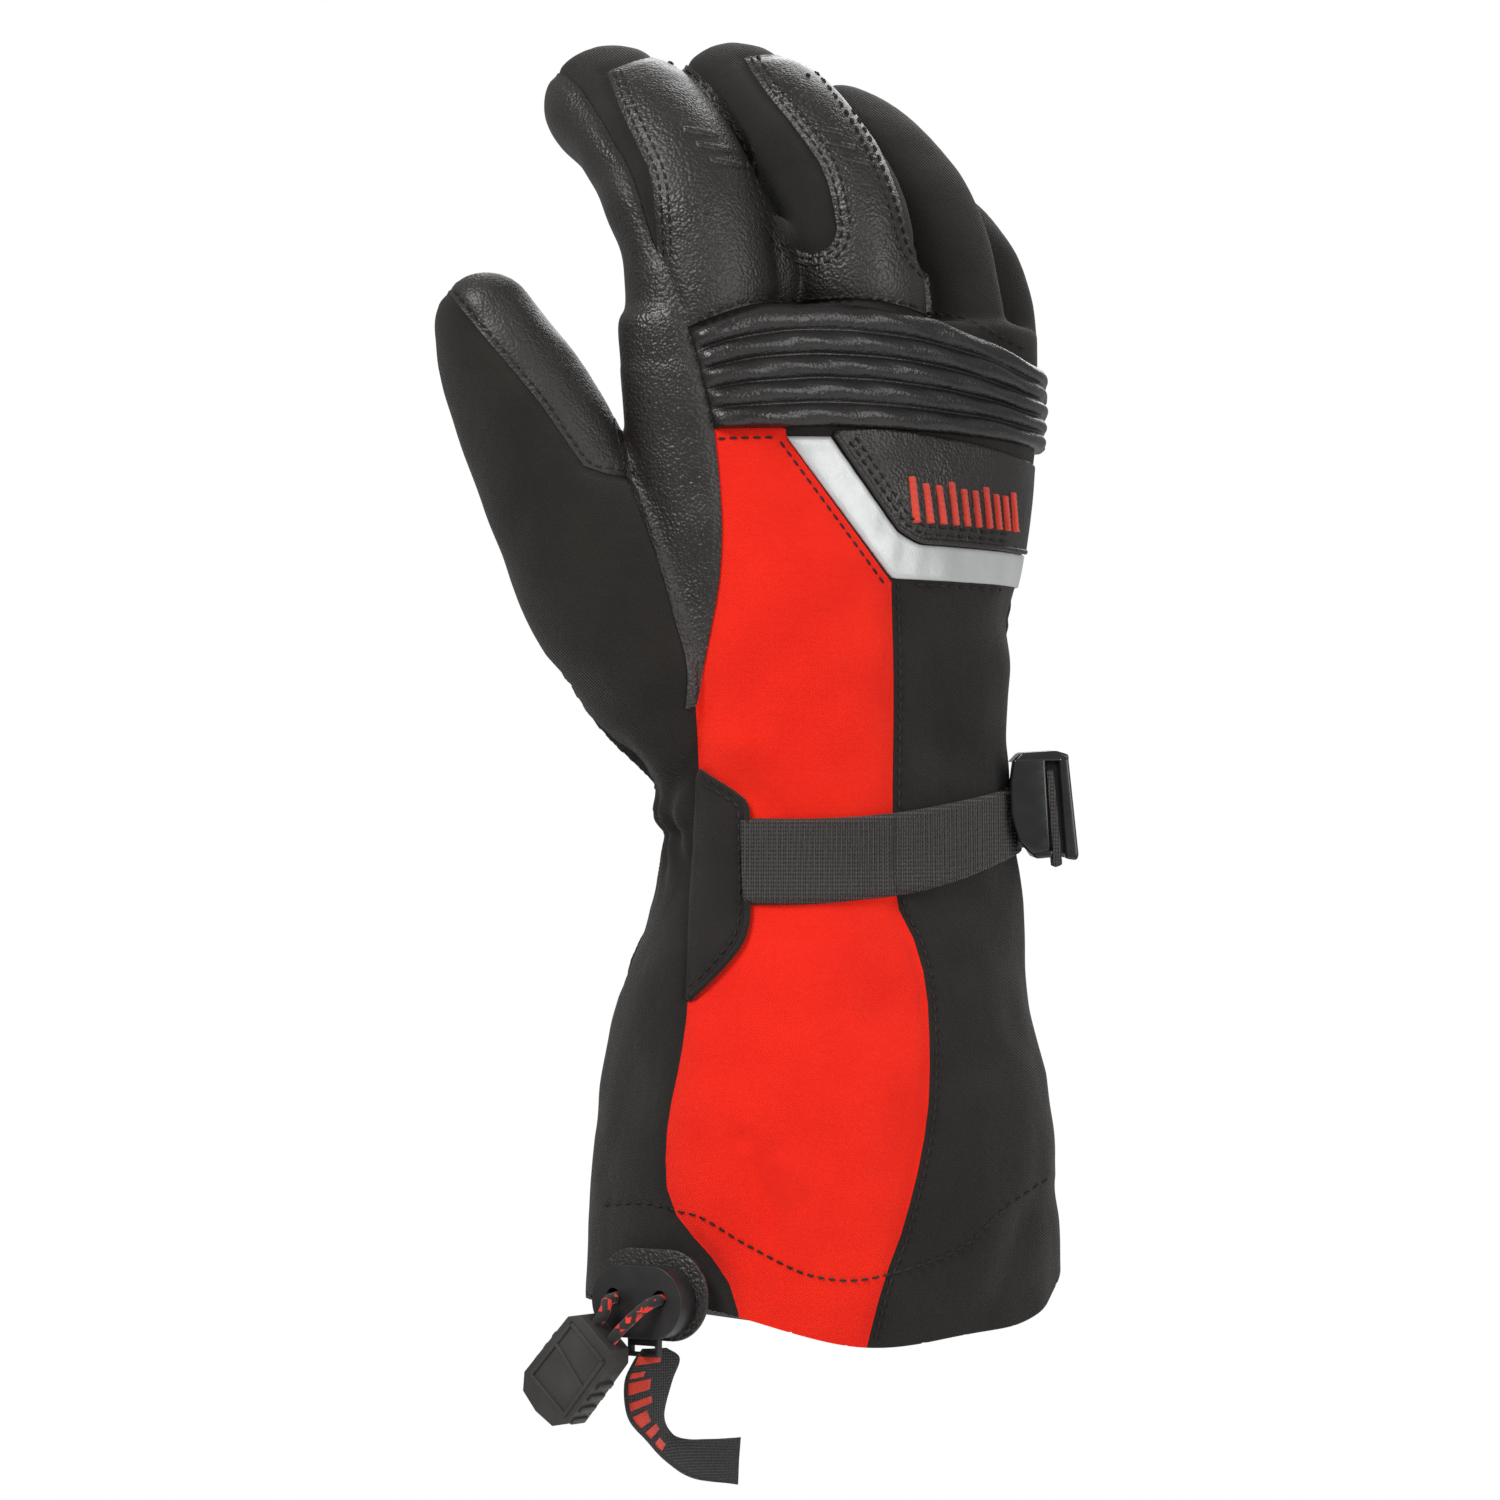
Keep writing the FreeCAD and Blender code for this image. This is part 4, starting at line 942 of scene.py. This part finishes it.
def stitches(name, lines, raise_by=0.0, wrap=False):
    """Rows of thread along lines on the front, one piece for each body that they lie on."""
    dashes = {}
    for line in lines:
        reach = np.linalg.norm(np.diff(line, axis=0), axis=1).sum()
        stops = even(line, 3 * max(2, round(reach / PITCH)) + 1)
        spots, outs = on_skin(stops, wrap)
        labels = group_of(spots)
        seen = (outs @ TOWARDS > (-0.4 if wrap else 0.12)) & (above_hem(spots) > 1.5)
        for first in range(0, len(stops) - 2, 3):
            a, b = spots[first], spots[first + 2]
            if not seen[first:first + 3].all() or np.linalg.norm(b - a) > 1.6 * PITCH:
                continue
            share = np.array((0, 0.12, 0.5, 0.88, 1))[:, None]
            arch = raise_by + THREAD_RADIUS * (0.75 - 1.1 * (2 * share - 1) ** 4)
            points = a * (1 - share) + b * share + outs[first + 1] * arch
            rings = rings_along(points, THREAD_RADIUS * np.array((0.3, 0.8, 1, 0.8, 0.3)), 6)
            dashes.setdefault(int(labels[first]), []).append(lofted(rings))
    for label, shapes in dashes.items():
        follow(make(f"{name}_{GROUPS[label]}", *joined(shapes), THREAD, "webbing"), label)


def cord_on_skin(name, line, radius, material, slot, raise_by, wrap=False):
    """Round piping along a line on the front."""
    spots, outs = on_skin(line, wrap)
    points = averaged((spots + outs * raise_by)[None], 2)[0]
    follow(make(name, *lofted(rings_along(points, np.full(len(points), radius), 10)), material, slot), 0)


# ribs over the knuckles: five padded rolls in one leather panel
RIBS = 5


def rib_height(s, t):
    """Height of the rolls, which flatten at the left end."""
    rolls = np.abs(np.sin(math.pi * RIBS * np.clip(t, 0, 1))) ** 0.62
    ends = step(s, 0, 0.04)
    return 0.9 + (2.5 * rolls + 0.25 * np.sin(s * 37 + t * 21) * rolls) * (0.35 + 0.65 * ends)


rib_low, rib_high = curve(RIB_FOOT, 130), curve(RIB_HEAD, 130)
ribs = patch("knuckle_ribs_leather", rib_low, rib_high, 84, RIB_LEATHER, "leather", rib_height, 2, wrap=True)
follow(ribs, 0)
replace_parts(ribs, "knuckle_ribs", "knuckle_panel")

# reflective band and badge
band_outer = bent((((-11.2, 231.6), (17, 194)), 26), (((17, 194), (56, 192.8)), 30))
band_inner = bent((((0.6, 231.6), (18.4, 206.4)), 26), (((18.4, 206.4), (24, 203.2), (57, 201.8)), 30))
band = follow(patch("reflective_band", band_outer, band_inner, 8, FILM, "reflective",
                    lambda s, t: 0.75 + 0.12 * np.sin(s * 60), wrap=True), 0)
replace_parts(band, "reflective_trim")
badge_low = bent((((1.2, 232.2), (18.6, 206.8)), 24), (((18.6, 206.8), (24, 203.8), (57, 202.3)), 30))
badge_high = curve(((1.4, 232.9), (15.7, 234), (36.5, 231.6), (50, 228.6), (59.5, 225.6)), len(badge_low))
badge = follow(patch("badge_leather", badge_low, badge_high, 26, LEATHER, "leather",
                     lambda s, t: 1.15 + 0.5 * np.sin(math.pi * t) * np.sin(math.pi * s), wrap=True), 0)
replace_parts(badge, "badge_patch")
cord_on_skin("badge_piping", beside(badge_low[:-3], 0.3), 0.75, LEATHER, "leather", 1.2, wrap=True)
stitches("badge_stitches", [beside(badge_low[3:-4], 2.3), beside(badge_low[3:-4], 4.2)], 1.5, wrap=True)


def round_places(level, first, steps):
    """Values of u that lie given lengths round the trunk from a first one."""
    x, y, wide, deep = trunk_at([level])[0]
    half = math.hypot(wide * ACROSS[0], deep * ACROSS[1])
    centre = x * ACROSS[0] + y * ACROSS[1]
    ratio = np.sin(np.linspace(math.asin((first - centre) / half), math.pi / 2, 200))
    turns = -np.arccos(ratio) - math.atan2(-deep * ACROSS[1], wide * ACROSS[0])
    reach = np.r_[0, np.cumsum(np.hypot(np.diff(wide * np.cos(turns)), np.diff(deep * np.sin(turns))))]
    return np.interp(steps, reach, centre + half * ratio)


# generic embroidery: a row of slanted satin-stitch bars, standing for no letter
BAR_PITCH, BAR_WIDTH, BAR_SLANT, BAR_LEVEL, FIRST_BAR = 4.6, 2.7, 1.8, 213, 20.5
for number in range(10):
    foot, head = 208.6 - number * 0.1, 219.8 - number * 0.3 + 1.4 * (number % 3 == 0)
    steps = np.array((BAR_SLANT, 0)) + number * BAR_PITCH
    lefts = round_places(BAR_LEVEL, FIRST_BAR, steps)
    rights = round_places(BAR_LEVEL, FIRST_BAR, steps + BAR_WIDTH)
    follow(patch(f"embroidery_{number}", even(((lefts[0], foot), (rights[0], foot)), 7),
                 even(((lefts[1], head), (rights[1], head)), 7), 26, RED_THREAD, "red_softshell",
                 lambda s, t: 1.9 + 0.35 * np.sin(math.pi * s) + 0.09 * np.sin(t * 120), wrap=True), 0)

# wrist strap and its tab
tab_right = curve(((-36.4, 82), (-30, 88.4), (-24.3, 94.8), (-21.6, 99.6), (-20.6, 107.5), (-21, 132),
                   (-23.5, 136.2), (-33.6, 143.6)), 46)
tab_left = curve(((-37.2, 82.3), (-36.6, 104), (-35.6, 118), (-34.4, 142.8)), 46)
tab = follow(patch("strap_tab_cloth", tab_right, tab_left, 12, BLACK_TWILL, "black_softshell",
                   lambda s, t: 1.5 + 0.3 * np.sin(math.pi * t), 2), 0)
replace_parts(tab, "strap_tab")
cord_on_skin("strap_tab_edge", beside(tab_right[1:], 0.2), 0.8, BLACK_TWILL, "black_softshell", 1.3)
stitches("strap_tab_stitches", [beside(tab_right[2:-2], 2.2)], 1.75)
strap_low = curve(((-22, 106.9), (-4.6, 107.1), (9, 108.2), (22, 109.7), (35.6, 113.1), (46, 117.3),
                   (51.5, 119.8)), 340)
strap_high = curve(((-23, 131.2), (-0.3, 131.3), (17.8, 132.6), (31, 134.7), (45, 137.6), (52, 139.6)), 340)


def strap_height(s, t):
    """Height of the webbing, thinner at its edges, with its ribs."""
    edge = 1 - 0.5 * np.exp(-(np.minimum(t, 1 - t) / 0.03) ** 2)
    return 2.3 * edge + 0.16 * np.sin(s * 2 * math.pi * 66) + 0.06 * np.sin(t * 2 * math.pi * 11)


strap = patch("wrist_strap_webbing", strap_low, strap_high, 22, STRAP_WEB, "webbing", strap_height, 10, 0.2)
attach(strap, "cuff")
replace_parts(strap, "wrist_strap")

# thread rows on the shell and the leather
strip_left, strip_right = curve(INDEX_STRIP_LEFT, 20), curve(INDEX_STRIP_RIGHT, 26)
crotch = curve(CROTCH_U, 14)
middle_left, middle_right = curve(MIDDLE_STRIP_LEFT, 22), curve(MIDDLE_STRIP_RIGHT[:-1], 26)
for number, gap in enumerate((-1.5, -3.3)):
    stitches(f"strip_stitches_{number}", [beside(line, gap) for line in
                                          (strip_left, strip_right, crotch, middle_left, middle_right)], 0.75)
knuckle_row = curve(((-34, 260.5), (-25, 264.8), (-12, 267.6), (2, 268.3), (16, 267.4), (28.6, 265),
                     (43, 260.8), (54, 256.2)), 50)
stitches("knuckle_stitches", [beside(knuckle_row, 1.2)], 1.0)
red_seam = curve(RED_SEAM, 60)
hem_row = curve(((-62, 27.4), (-49, 29.7), (-39.7, 27.9), (-33, 26.4), (-23.2, 20.6), (-10, 13.6), (-1, 10.8),
                 (9.5, 10.3), (25, 13.8), (36, 18), (46, 26.3), (56, 31.8), (63, 34.4)), 60)
stitches("seam_stitches", [beside(red_seam, 1.7), beside(even(RED_DIAGONAL, 12), -1.9),
                           even(((-29, 230.6), (-13.5, 231)), 8), hem_row], 0.0)
stitches("band_stitches", [beside(band_outer[30:], -1.3)], 0.1)
stitches("thumb_stitches", [beside(curve(THUMB_SEAM[:-1], 30), -1.6)], 0.3)

# embossed bars on the finger strips
for finger, corner in (("index", (-38.4, 312)), ("middle", (-3.6, 314))):
    for number in range(3):
        foot = np.array(corner) + np.array((3.6, -4.2)) * number
        side = np.array((9.5, -1.2)) if finger == "index" else np.array((8.6, -1.6))
        bar = patch(f"embossed_{finger}_{number}", even((foot, foot + side), 16),
                    even((foot + (-0.9, 2.1), foot + side + (-0.9, 2.1)), 16), 6, LEATHER, "leather",
                    lambda s, t: 0.7 + 0.5 * np.sin(math.pi * t) ** 0.5)
        follow(bar, GROUPS.index(finger))

# ---------------------------------------------------------------- lining, seen through the hand opening


def hem_ring(inset, above):
    """A ring that keeps a height above the hem's wavy edge."""
    ring = trunk_rings([20.0], inset)[0]
    ring[:, 2] = 0
    ring[:, 2] = above - above_hem(ring)
    return ring


HEM_ROLL = ((2.2, 2.5), (2.8, 1.2), (4, 0.5), (6, 0.8), (7.4, 2.6), (8, 6))
lining_rings = [hem_ring(inset, above) for inset, above in HEM_ROLL]
lining_rings += trunk_rings(np.arange(30, 262, 5.0), 8.0) + trunk_rings((263.0, 264.0), 9.5)
verts, faces = lofted(lining_rings)
lining = make("lining_sock", verts, [face[::-1] for face in faces[1:]], FLEECE, "lining")
follow(lining, 0)
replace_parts(lining, "cuff_lining", "hand_lining", "hem_facing", "hem_drawcord")

# ---------------------------------------------------------------- hardware, from the CAD's own shapes

body_of = {node: body for body, members in record["behaviour"]["bodies"].items() for node in members}


def bevelled(mesh, edges, width, segments):
    """Rounds edges, and cuts faces with more than four corners into triangles."""
    bmesh.ops.bevel(mesh, geom=edges, offset=width, offset_type="OFFSET", segments=segments, profile=0.5,
                    affect="EDGES", clamp_overlap=True)
    bmesh.ops.triangulate(mesh, faces=[face for face in mesh.faces if len(face.verts) > 4])


def solid_piece(name, mesh, material, slot, body, corner):
    """The mesh as a piece that rides a body, smooth but at edges sharper than an angle."""
    data = bpy.data.meshes.new(name)
    mesh.to_mesh(data)
    mesh.free()
    data.polygons.foreach_set("use_smooth", [True] * len(data.polygons))
    data.set_sharp_from_angle(angle=math.radians(corner))
    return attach(placed(data, material, slot), body)


def softened(node, material, slot, width, segments=3):
    """The CAD node's shape with moulded, rounded edges."""
    mesh = bmesh.new()
    mesh.from_mesh(frame["nodes"][node].data)
    bmesh.ops.remove_doubles(mesh, verts=mesh.verts, dist=1e-5)
    bmesh.ops.dissolve_limit(mesh, angle_limit=math.radians(2), verts=mesh.verts, edges=mesh.edges)
    sharp = [edge for edge in mesh.edges
             if len(edge.link_faces) == 2 and edge.calc_face_angle() > math.radians(35)]
    bevelled(mesh, sharp, width * MM, segments)
    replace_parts(solid_piece(f"{node}_moulded", mesh, material, slot, body_of[node], 40), node)


def moulding(name, blocks, axes, material, slot, body, width, segments):
    """Prisms with rounded edges in one mesh: each an outline on two axes, pushed along the third."""
    first, second, third = (np.array(axis) for axis in axes)
    mesh = bmesh.new()
    for shape, start, end in blocks:
        ends = [[mesh.verts.new(first * a + second * b + third * reach) for a, b in shape]
                for reach in (start, end)]
        mesh.faces.new(ends[0][::-1])
        mesh.faces.new(ends[1])
        for number in range(len(shape)):
            after = (number + 1) % len(shape)
            mesh.faces.new((ends[0][number], ends[0][after], ends[1][after], ends[1][number]))
    bmesh.ops.recalc_face_normals(mesh, faces=mesh.faces)
    bevelled(mesh, mesh.edges, width, segments)
    bmesh.ops.scale(mesh, vec=(MM, MM, MM), verts=mesh.verts)
    return solid_piece(name, mesh, material, slot, body, 35)


# the ladder buckle stands on edge beside the wrist: rails above and below, and bars between them
buckle_low, buckle_high = box_mm("ladder_buckle")
buckle_middle = (buckle_low + buckle_high) / 2
RAIL = 13  # from the buckle's middle to each rail
near, far = buckle_middle @ TOWARDS + RAIL, buckle_middle @ TOWARDS - RAIL
BUCKLE_BODY = ((50.5, 146), (59, 146.2), (60.4, 121.5), (55.5, 120.2), (51.8, 124), (49.8, 131), (49.6, 139))
BUCKLE_LIP = ((62.6, 146.4), (65.2, 146.4), (68, 120), (67.4, 118.8), (64.6, 119.2))
BUCKLE_BACK = ((58, 146), (64, 146), (66, 120), (59.4, 120.4))
BUCKLE_TOP = ((50.2, 145.2), (65.4, 145.6), (65.2, 147.4), (62, 148.4), (52.6, 147.8))
BUCKLE_FOOT = ((55, 121.4), (61.4, 121.6), (61, 119.6), (56.5, 119.2))
buckle = moulding("ladder_buckle_frame", (
    (BUCKLE_BODY, near - 3.6, near + 8.6), (BUCKLE_LIP, near - 4.2, near + 8.8),
    (BUCKLE_TOP, far, near + 8.6), (BUCKLE_FOOT, far, near + 8.6), (BUCKLE_BACK, near + 1, near + 4),
    (BUCKLE_LIP, far, far + 3)),
    (ACROSS, UP, TOWARDS), GLOSS_BLACK, "black_plastic", "buckle", 0.7, 3)
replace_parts(buckle, "ladder_buckle")
STRAP_FOLD = ((59.4, 143), (61.2, 143), (63.6, 117.6), (61.4, 116.8))
moulding("strap_fold", ((STRAP_FOLD, near - 12, near + 8.9),), (ACROSS, UP, TOWARDS), STRAP_WEB, "webbing",
         "buckle", 0.6, 3)
softened("strap_tail", STRAP_WEB, "webbing", 0.3, 2)
softened("buckle_loop", STRAP_WEB, "webbing", 0.3, 2)
softened("lock_housing", SATIN_BLACK, "black_plastic", 0.7)
softened("lock_lever", SATIN_BLACK, "black_plastic", 0.3, 2)
softened("lock_patch", LEATHER, "leather", 0.35, 2)
softened("pull_tab", TAB_RUBBER, "tab_rubber", 1.1)

# raised border, step and grips on the pull tab, in its own frame: along it, across it and out of its face
lock_right = np.array(next(joint["axis"] for joint in record["behaviour"]["joints"]
                           if joint["name"] == "lever_release"))
lock_out = np.cross(lock_right, UP)
TAB_TURN = math.radians(42)
tab_down = -lock_right * math.sin(TAB_TURN) - UP * math.cos(TAB_TURN)
tab_across = np.cross(lock_out, tab_down)
tab_low, tab_high = box_mm("pull_tab")
tab_middle = (tab_low + tab_high) / 2
along, aside, face = tab_middle @ tab_down, tab_middle @ tab_across, tab_middle @ lock_out + 4.25


def on_tab(shape, start, end):
    """A block on the tab, from an outline about its middle and two heights over its face."""
    return [(along + a, aside + b) for a, b in shape], face + start, face + end


BORDER = (((-11, -7.6), (-11, 7.6), (-9.8, 7.6), (-9.8, -7.6)),
          ((-11, -7.6), (-11, -6.4), (9.5, -6.8), (9.5, -8)),
          ((-11, 6.4), (-11, 7.6), (9.5, 8), (9.5, 6.8)),
          ((-3.6, -6.8), (-1.2, 6.8), (0, 6.8), (-2.4, -6.8)),
          ((8.3, -7.6), (8.3, 7.6), (9.5, 7.6), (9.5, -7.6)))
GRIP_LENGTH, GRIP_HALF, GRIP_PITCH = 2.1, 0.9, 4.2
tab_blocks = [on_tab(shape, -0.6, 0.55) for shape in BORDER]
for number in range(4):
    top, foot = -4.5 + number * GRIP_PITCH, -4.5 + number * GRIP_PITCH + GRIP_LENGTH
    for edge in (-9.2, 9.2):
        left, right = edge - GRIP_HALF, edge + GRIP_HALF
        tab_blocks.append(on_tab(((top, left), (top, right), (foot, right), (foot, left)), -7.4, -1.2))
moulding("pull_tab_relief", tab_blocks, (tab_down, tab_across, lock_out), TAB_RUBBER, "tab_rubber", "pull",
         0.35, 2)

# release ribbon: woven sheet that hangs from the lever's eye, twists and curls to the right
RIBBON_LEFT = ((-48.6, -8), (-50.8, -11), (-53.2, -17), (-52.2, -25.5), (-47.3, -31.2), (-42, -36.8),
               (-34.8, -41.6), (-23.7, -43.6))
RIBBON_RIGHT = ((-42.2, -8), (-39, -10.6), (-41.2, -17), (-43.4, -26), (-41.1, -31.2), (-36.8, -32.6),
                (-31.5, -32.2), (-23, -31.2))
RIBBON_TWIST = (0.6, 2.4, 3.4, 5.2, 5.6, 4.6, 1.8, 0)
ribbon_low, ribbon_high = box_mm("release_ribbon")
ribbon_depth = ((ribbon_low + ribbon_high) / 2) @ TOWARDS


def ribbon_grid(shares, stops):
    """Points across and along the ribbon, and its direction there."""
    places = np.linspace(0, 1, 80)
    last = len(RIBBON_TWIST) - 1
    twist = np.interp(np.linspace(0, last, len(places)), np.arange(last + 1), RIBBON_TWIST)
    edges = []
    for shape, side in ((RIBBON_LEFT, 1), (RIBBON_RIGHT, -1)):
        u, z = curve(shape, len(places)).T
        line = np.outer(u, ACROSS) + np.outer(z, UP) + np.outer(ribbon_depth + side * twist, TOWARDS)
        edges.append(np.stack([np.interp(stops, places, column) for column in line.T], 1)[None])
    left, right = edges
    grid = left * (1 - shares[:, None, None]) + right * shares[:, None, None]
    out = np.cross(np.gradient(grid, axis=1), np.gradient(grid, axis=0))
    out = out / np.linalg.norm(out, axis=2)[..., None]
    return grid, out * np.sign((out @ TOWARDS).mean())


grid, out = ribbon_grid(np.linspace(0, 1, 14), np.linspace(0, 1, 90))
ribbon = make("release_ribbon_weave", *slab(grid + out * 0.5, grid - out * 0.5), RIBBON_WEB, "webbing")
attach(ribbon, "lock_lever")
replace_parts(ribbon, "release_ribbon")
# generic printed blocks, standing for no letter
prints = []
for start, end, edge in ((0.05, 0.1, 0.6), (0.14, 0.17, 0.34), (0.19, 0.25, 0.52), (0.29, 0.33, 0.58),
                         (0.36, 0.43, 0.45), (0.46, 0.5, 0.58), (0.53, 0.58, 0.4)):
    grid, out = ribbon_grid(np.linspace(0.06, edge, 6), np.linspace(start, end, 8))
    prints.append(slab(grid + out * 0.66, grid + out * 0.3))
prints = make("ribbon_print", *joined(prints), RED_THREAD, "red_softshell")
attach(prints, "lock_lever")

# ---------------------------------------------------------------- spring and pull cords

STEEL = Paint("spring_steel", (0.42, 0.42, 0.44), 0.3, Metallic=1.0)
STEEL.worn(0.25, 0.42, 300)
spring = frame["nodes"]["lock_spring"].data
spring.materials.clear()
spring.materials.append(STEEL.material)

# the pull cords keep the CAD's shape and take the braided cord
braid_mesh = frame["nodes"]["pull_cords"].data.copy()
braid_mesh.name = "pull_cords_braid"
cords = placed(braid_mesh, CORD, "webbing")
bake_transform(cords)
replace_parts(cords, "pull_cords")

# ---------------------------------------------------------------- camera, light and floor

MIDDLE = ACROSS * -20.5 + UP * 148.5  # where the camera looks
DISTANCE = 1687.5
scene = bpy.context.scene
scene.view_settings.view_transform = "Standard"
camera = bpy.data.objects.new("camera", bpy.data.cameras.new("camera"))
camera.data.lens = 150
camera.data.sensor_width = 36
camera.data.clip_end = 20
camera.location = (MIDDLE + TOWARDS * DISTANCE) * MM
camera.rotation_euler = (math.pi / 2, 0, -TURN)
scene.collection.objects.link(camera)
scene.camera = camera

# the surroundings light the glove dimly, and the camera sees them white
world = bpy.data.worlds.new("world")
world.use_nodes = True
nodes, link = world.node_tree.nodes, world.node_tree.links.new
choice = nodes.new("ShaderNodeMixShader")
link(nodes.new("ShaderNodeLightPath").outputs["Is Camera Ray"], choice.inputs["Fac"])
backdrop = nodes.new("ShaderNodeBackground")
for place, background, strength in ((1, nodes["Background"], 0.34), (2, backdrop, 1.0)):
    background.inputs["Color"].default_value = (1, 1, 1, 1)
    background.inputs["Strength"].default_value = strength
    link(background.outputs["Background"], choice.inputs[place])
link(choice.outputs["Shader"], nodes["World Output"].inputs["Surface"])
scene.world = world


def lamp(name, across, up, towards, size, power):
    """A square lamp that faces the glove, placed in millimetres from its middle."""
    light = bpy.data.objects.new(name, bpy.data.lights.new(name, "AREA"))
    light.data.size = size
    light.data.energy = power
    place = Vector((MIDDLE + ACROSS * across + UP * up + TOWARDS * towards) * MM)
    light.location = place
    light.rotation_euler = (Vector(MIDDLE * MM) - place).to_track_quat("-Z", "Y").to_euler()
    scene.collection.objects.link(light)


lamp("key", -700, 900, 700, 0.5, 14)
lamp("fill", 900, 300, 900, 0.9, 8)
lamp("back_light", 200, 700, -900, 0.8, 8)

floor_paint = Paint("pale_floor", (0.86, 0.86, 0.86), 0.7)
floor_paint.tint(0.84, 0.88, 3)
FLOOR_HALF, FLOOR_LEVEL = 900, -300
corners = [(x * FLOOR_HALF, y * FLOOR_HALF, FLOOR_LEVEL) for x, y in ((-1, -1), (1, -1), (1, 1), (-1, 1))]
make("floor", corners, [(0, 1, 2, 3)], floor_paint.material)
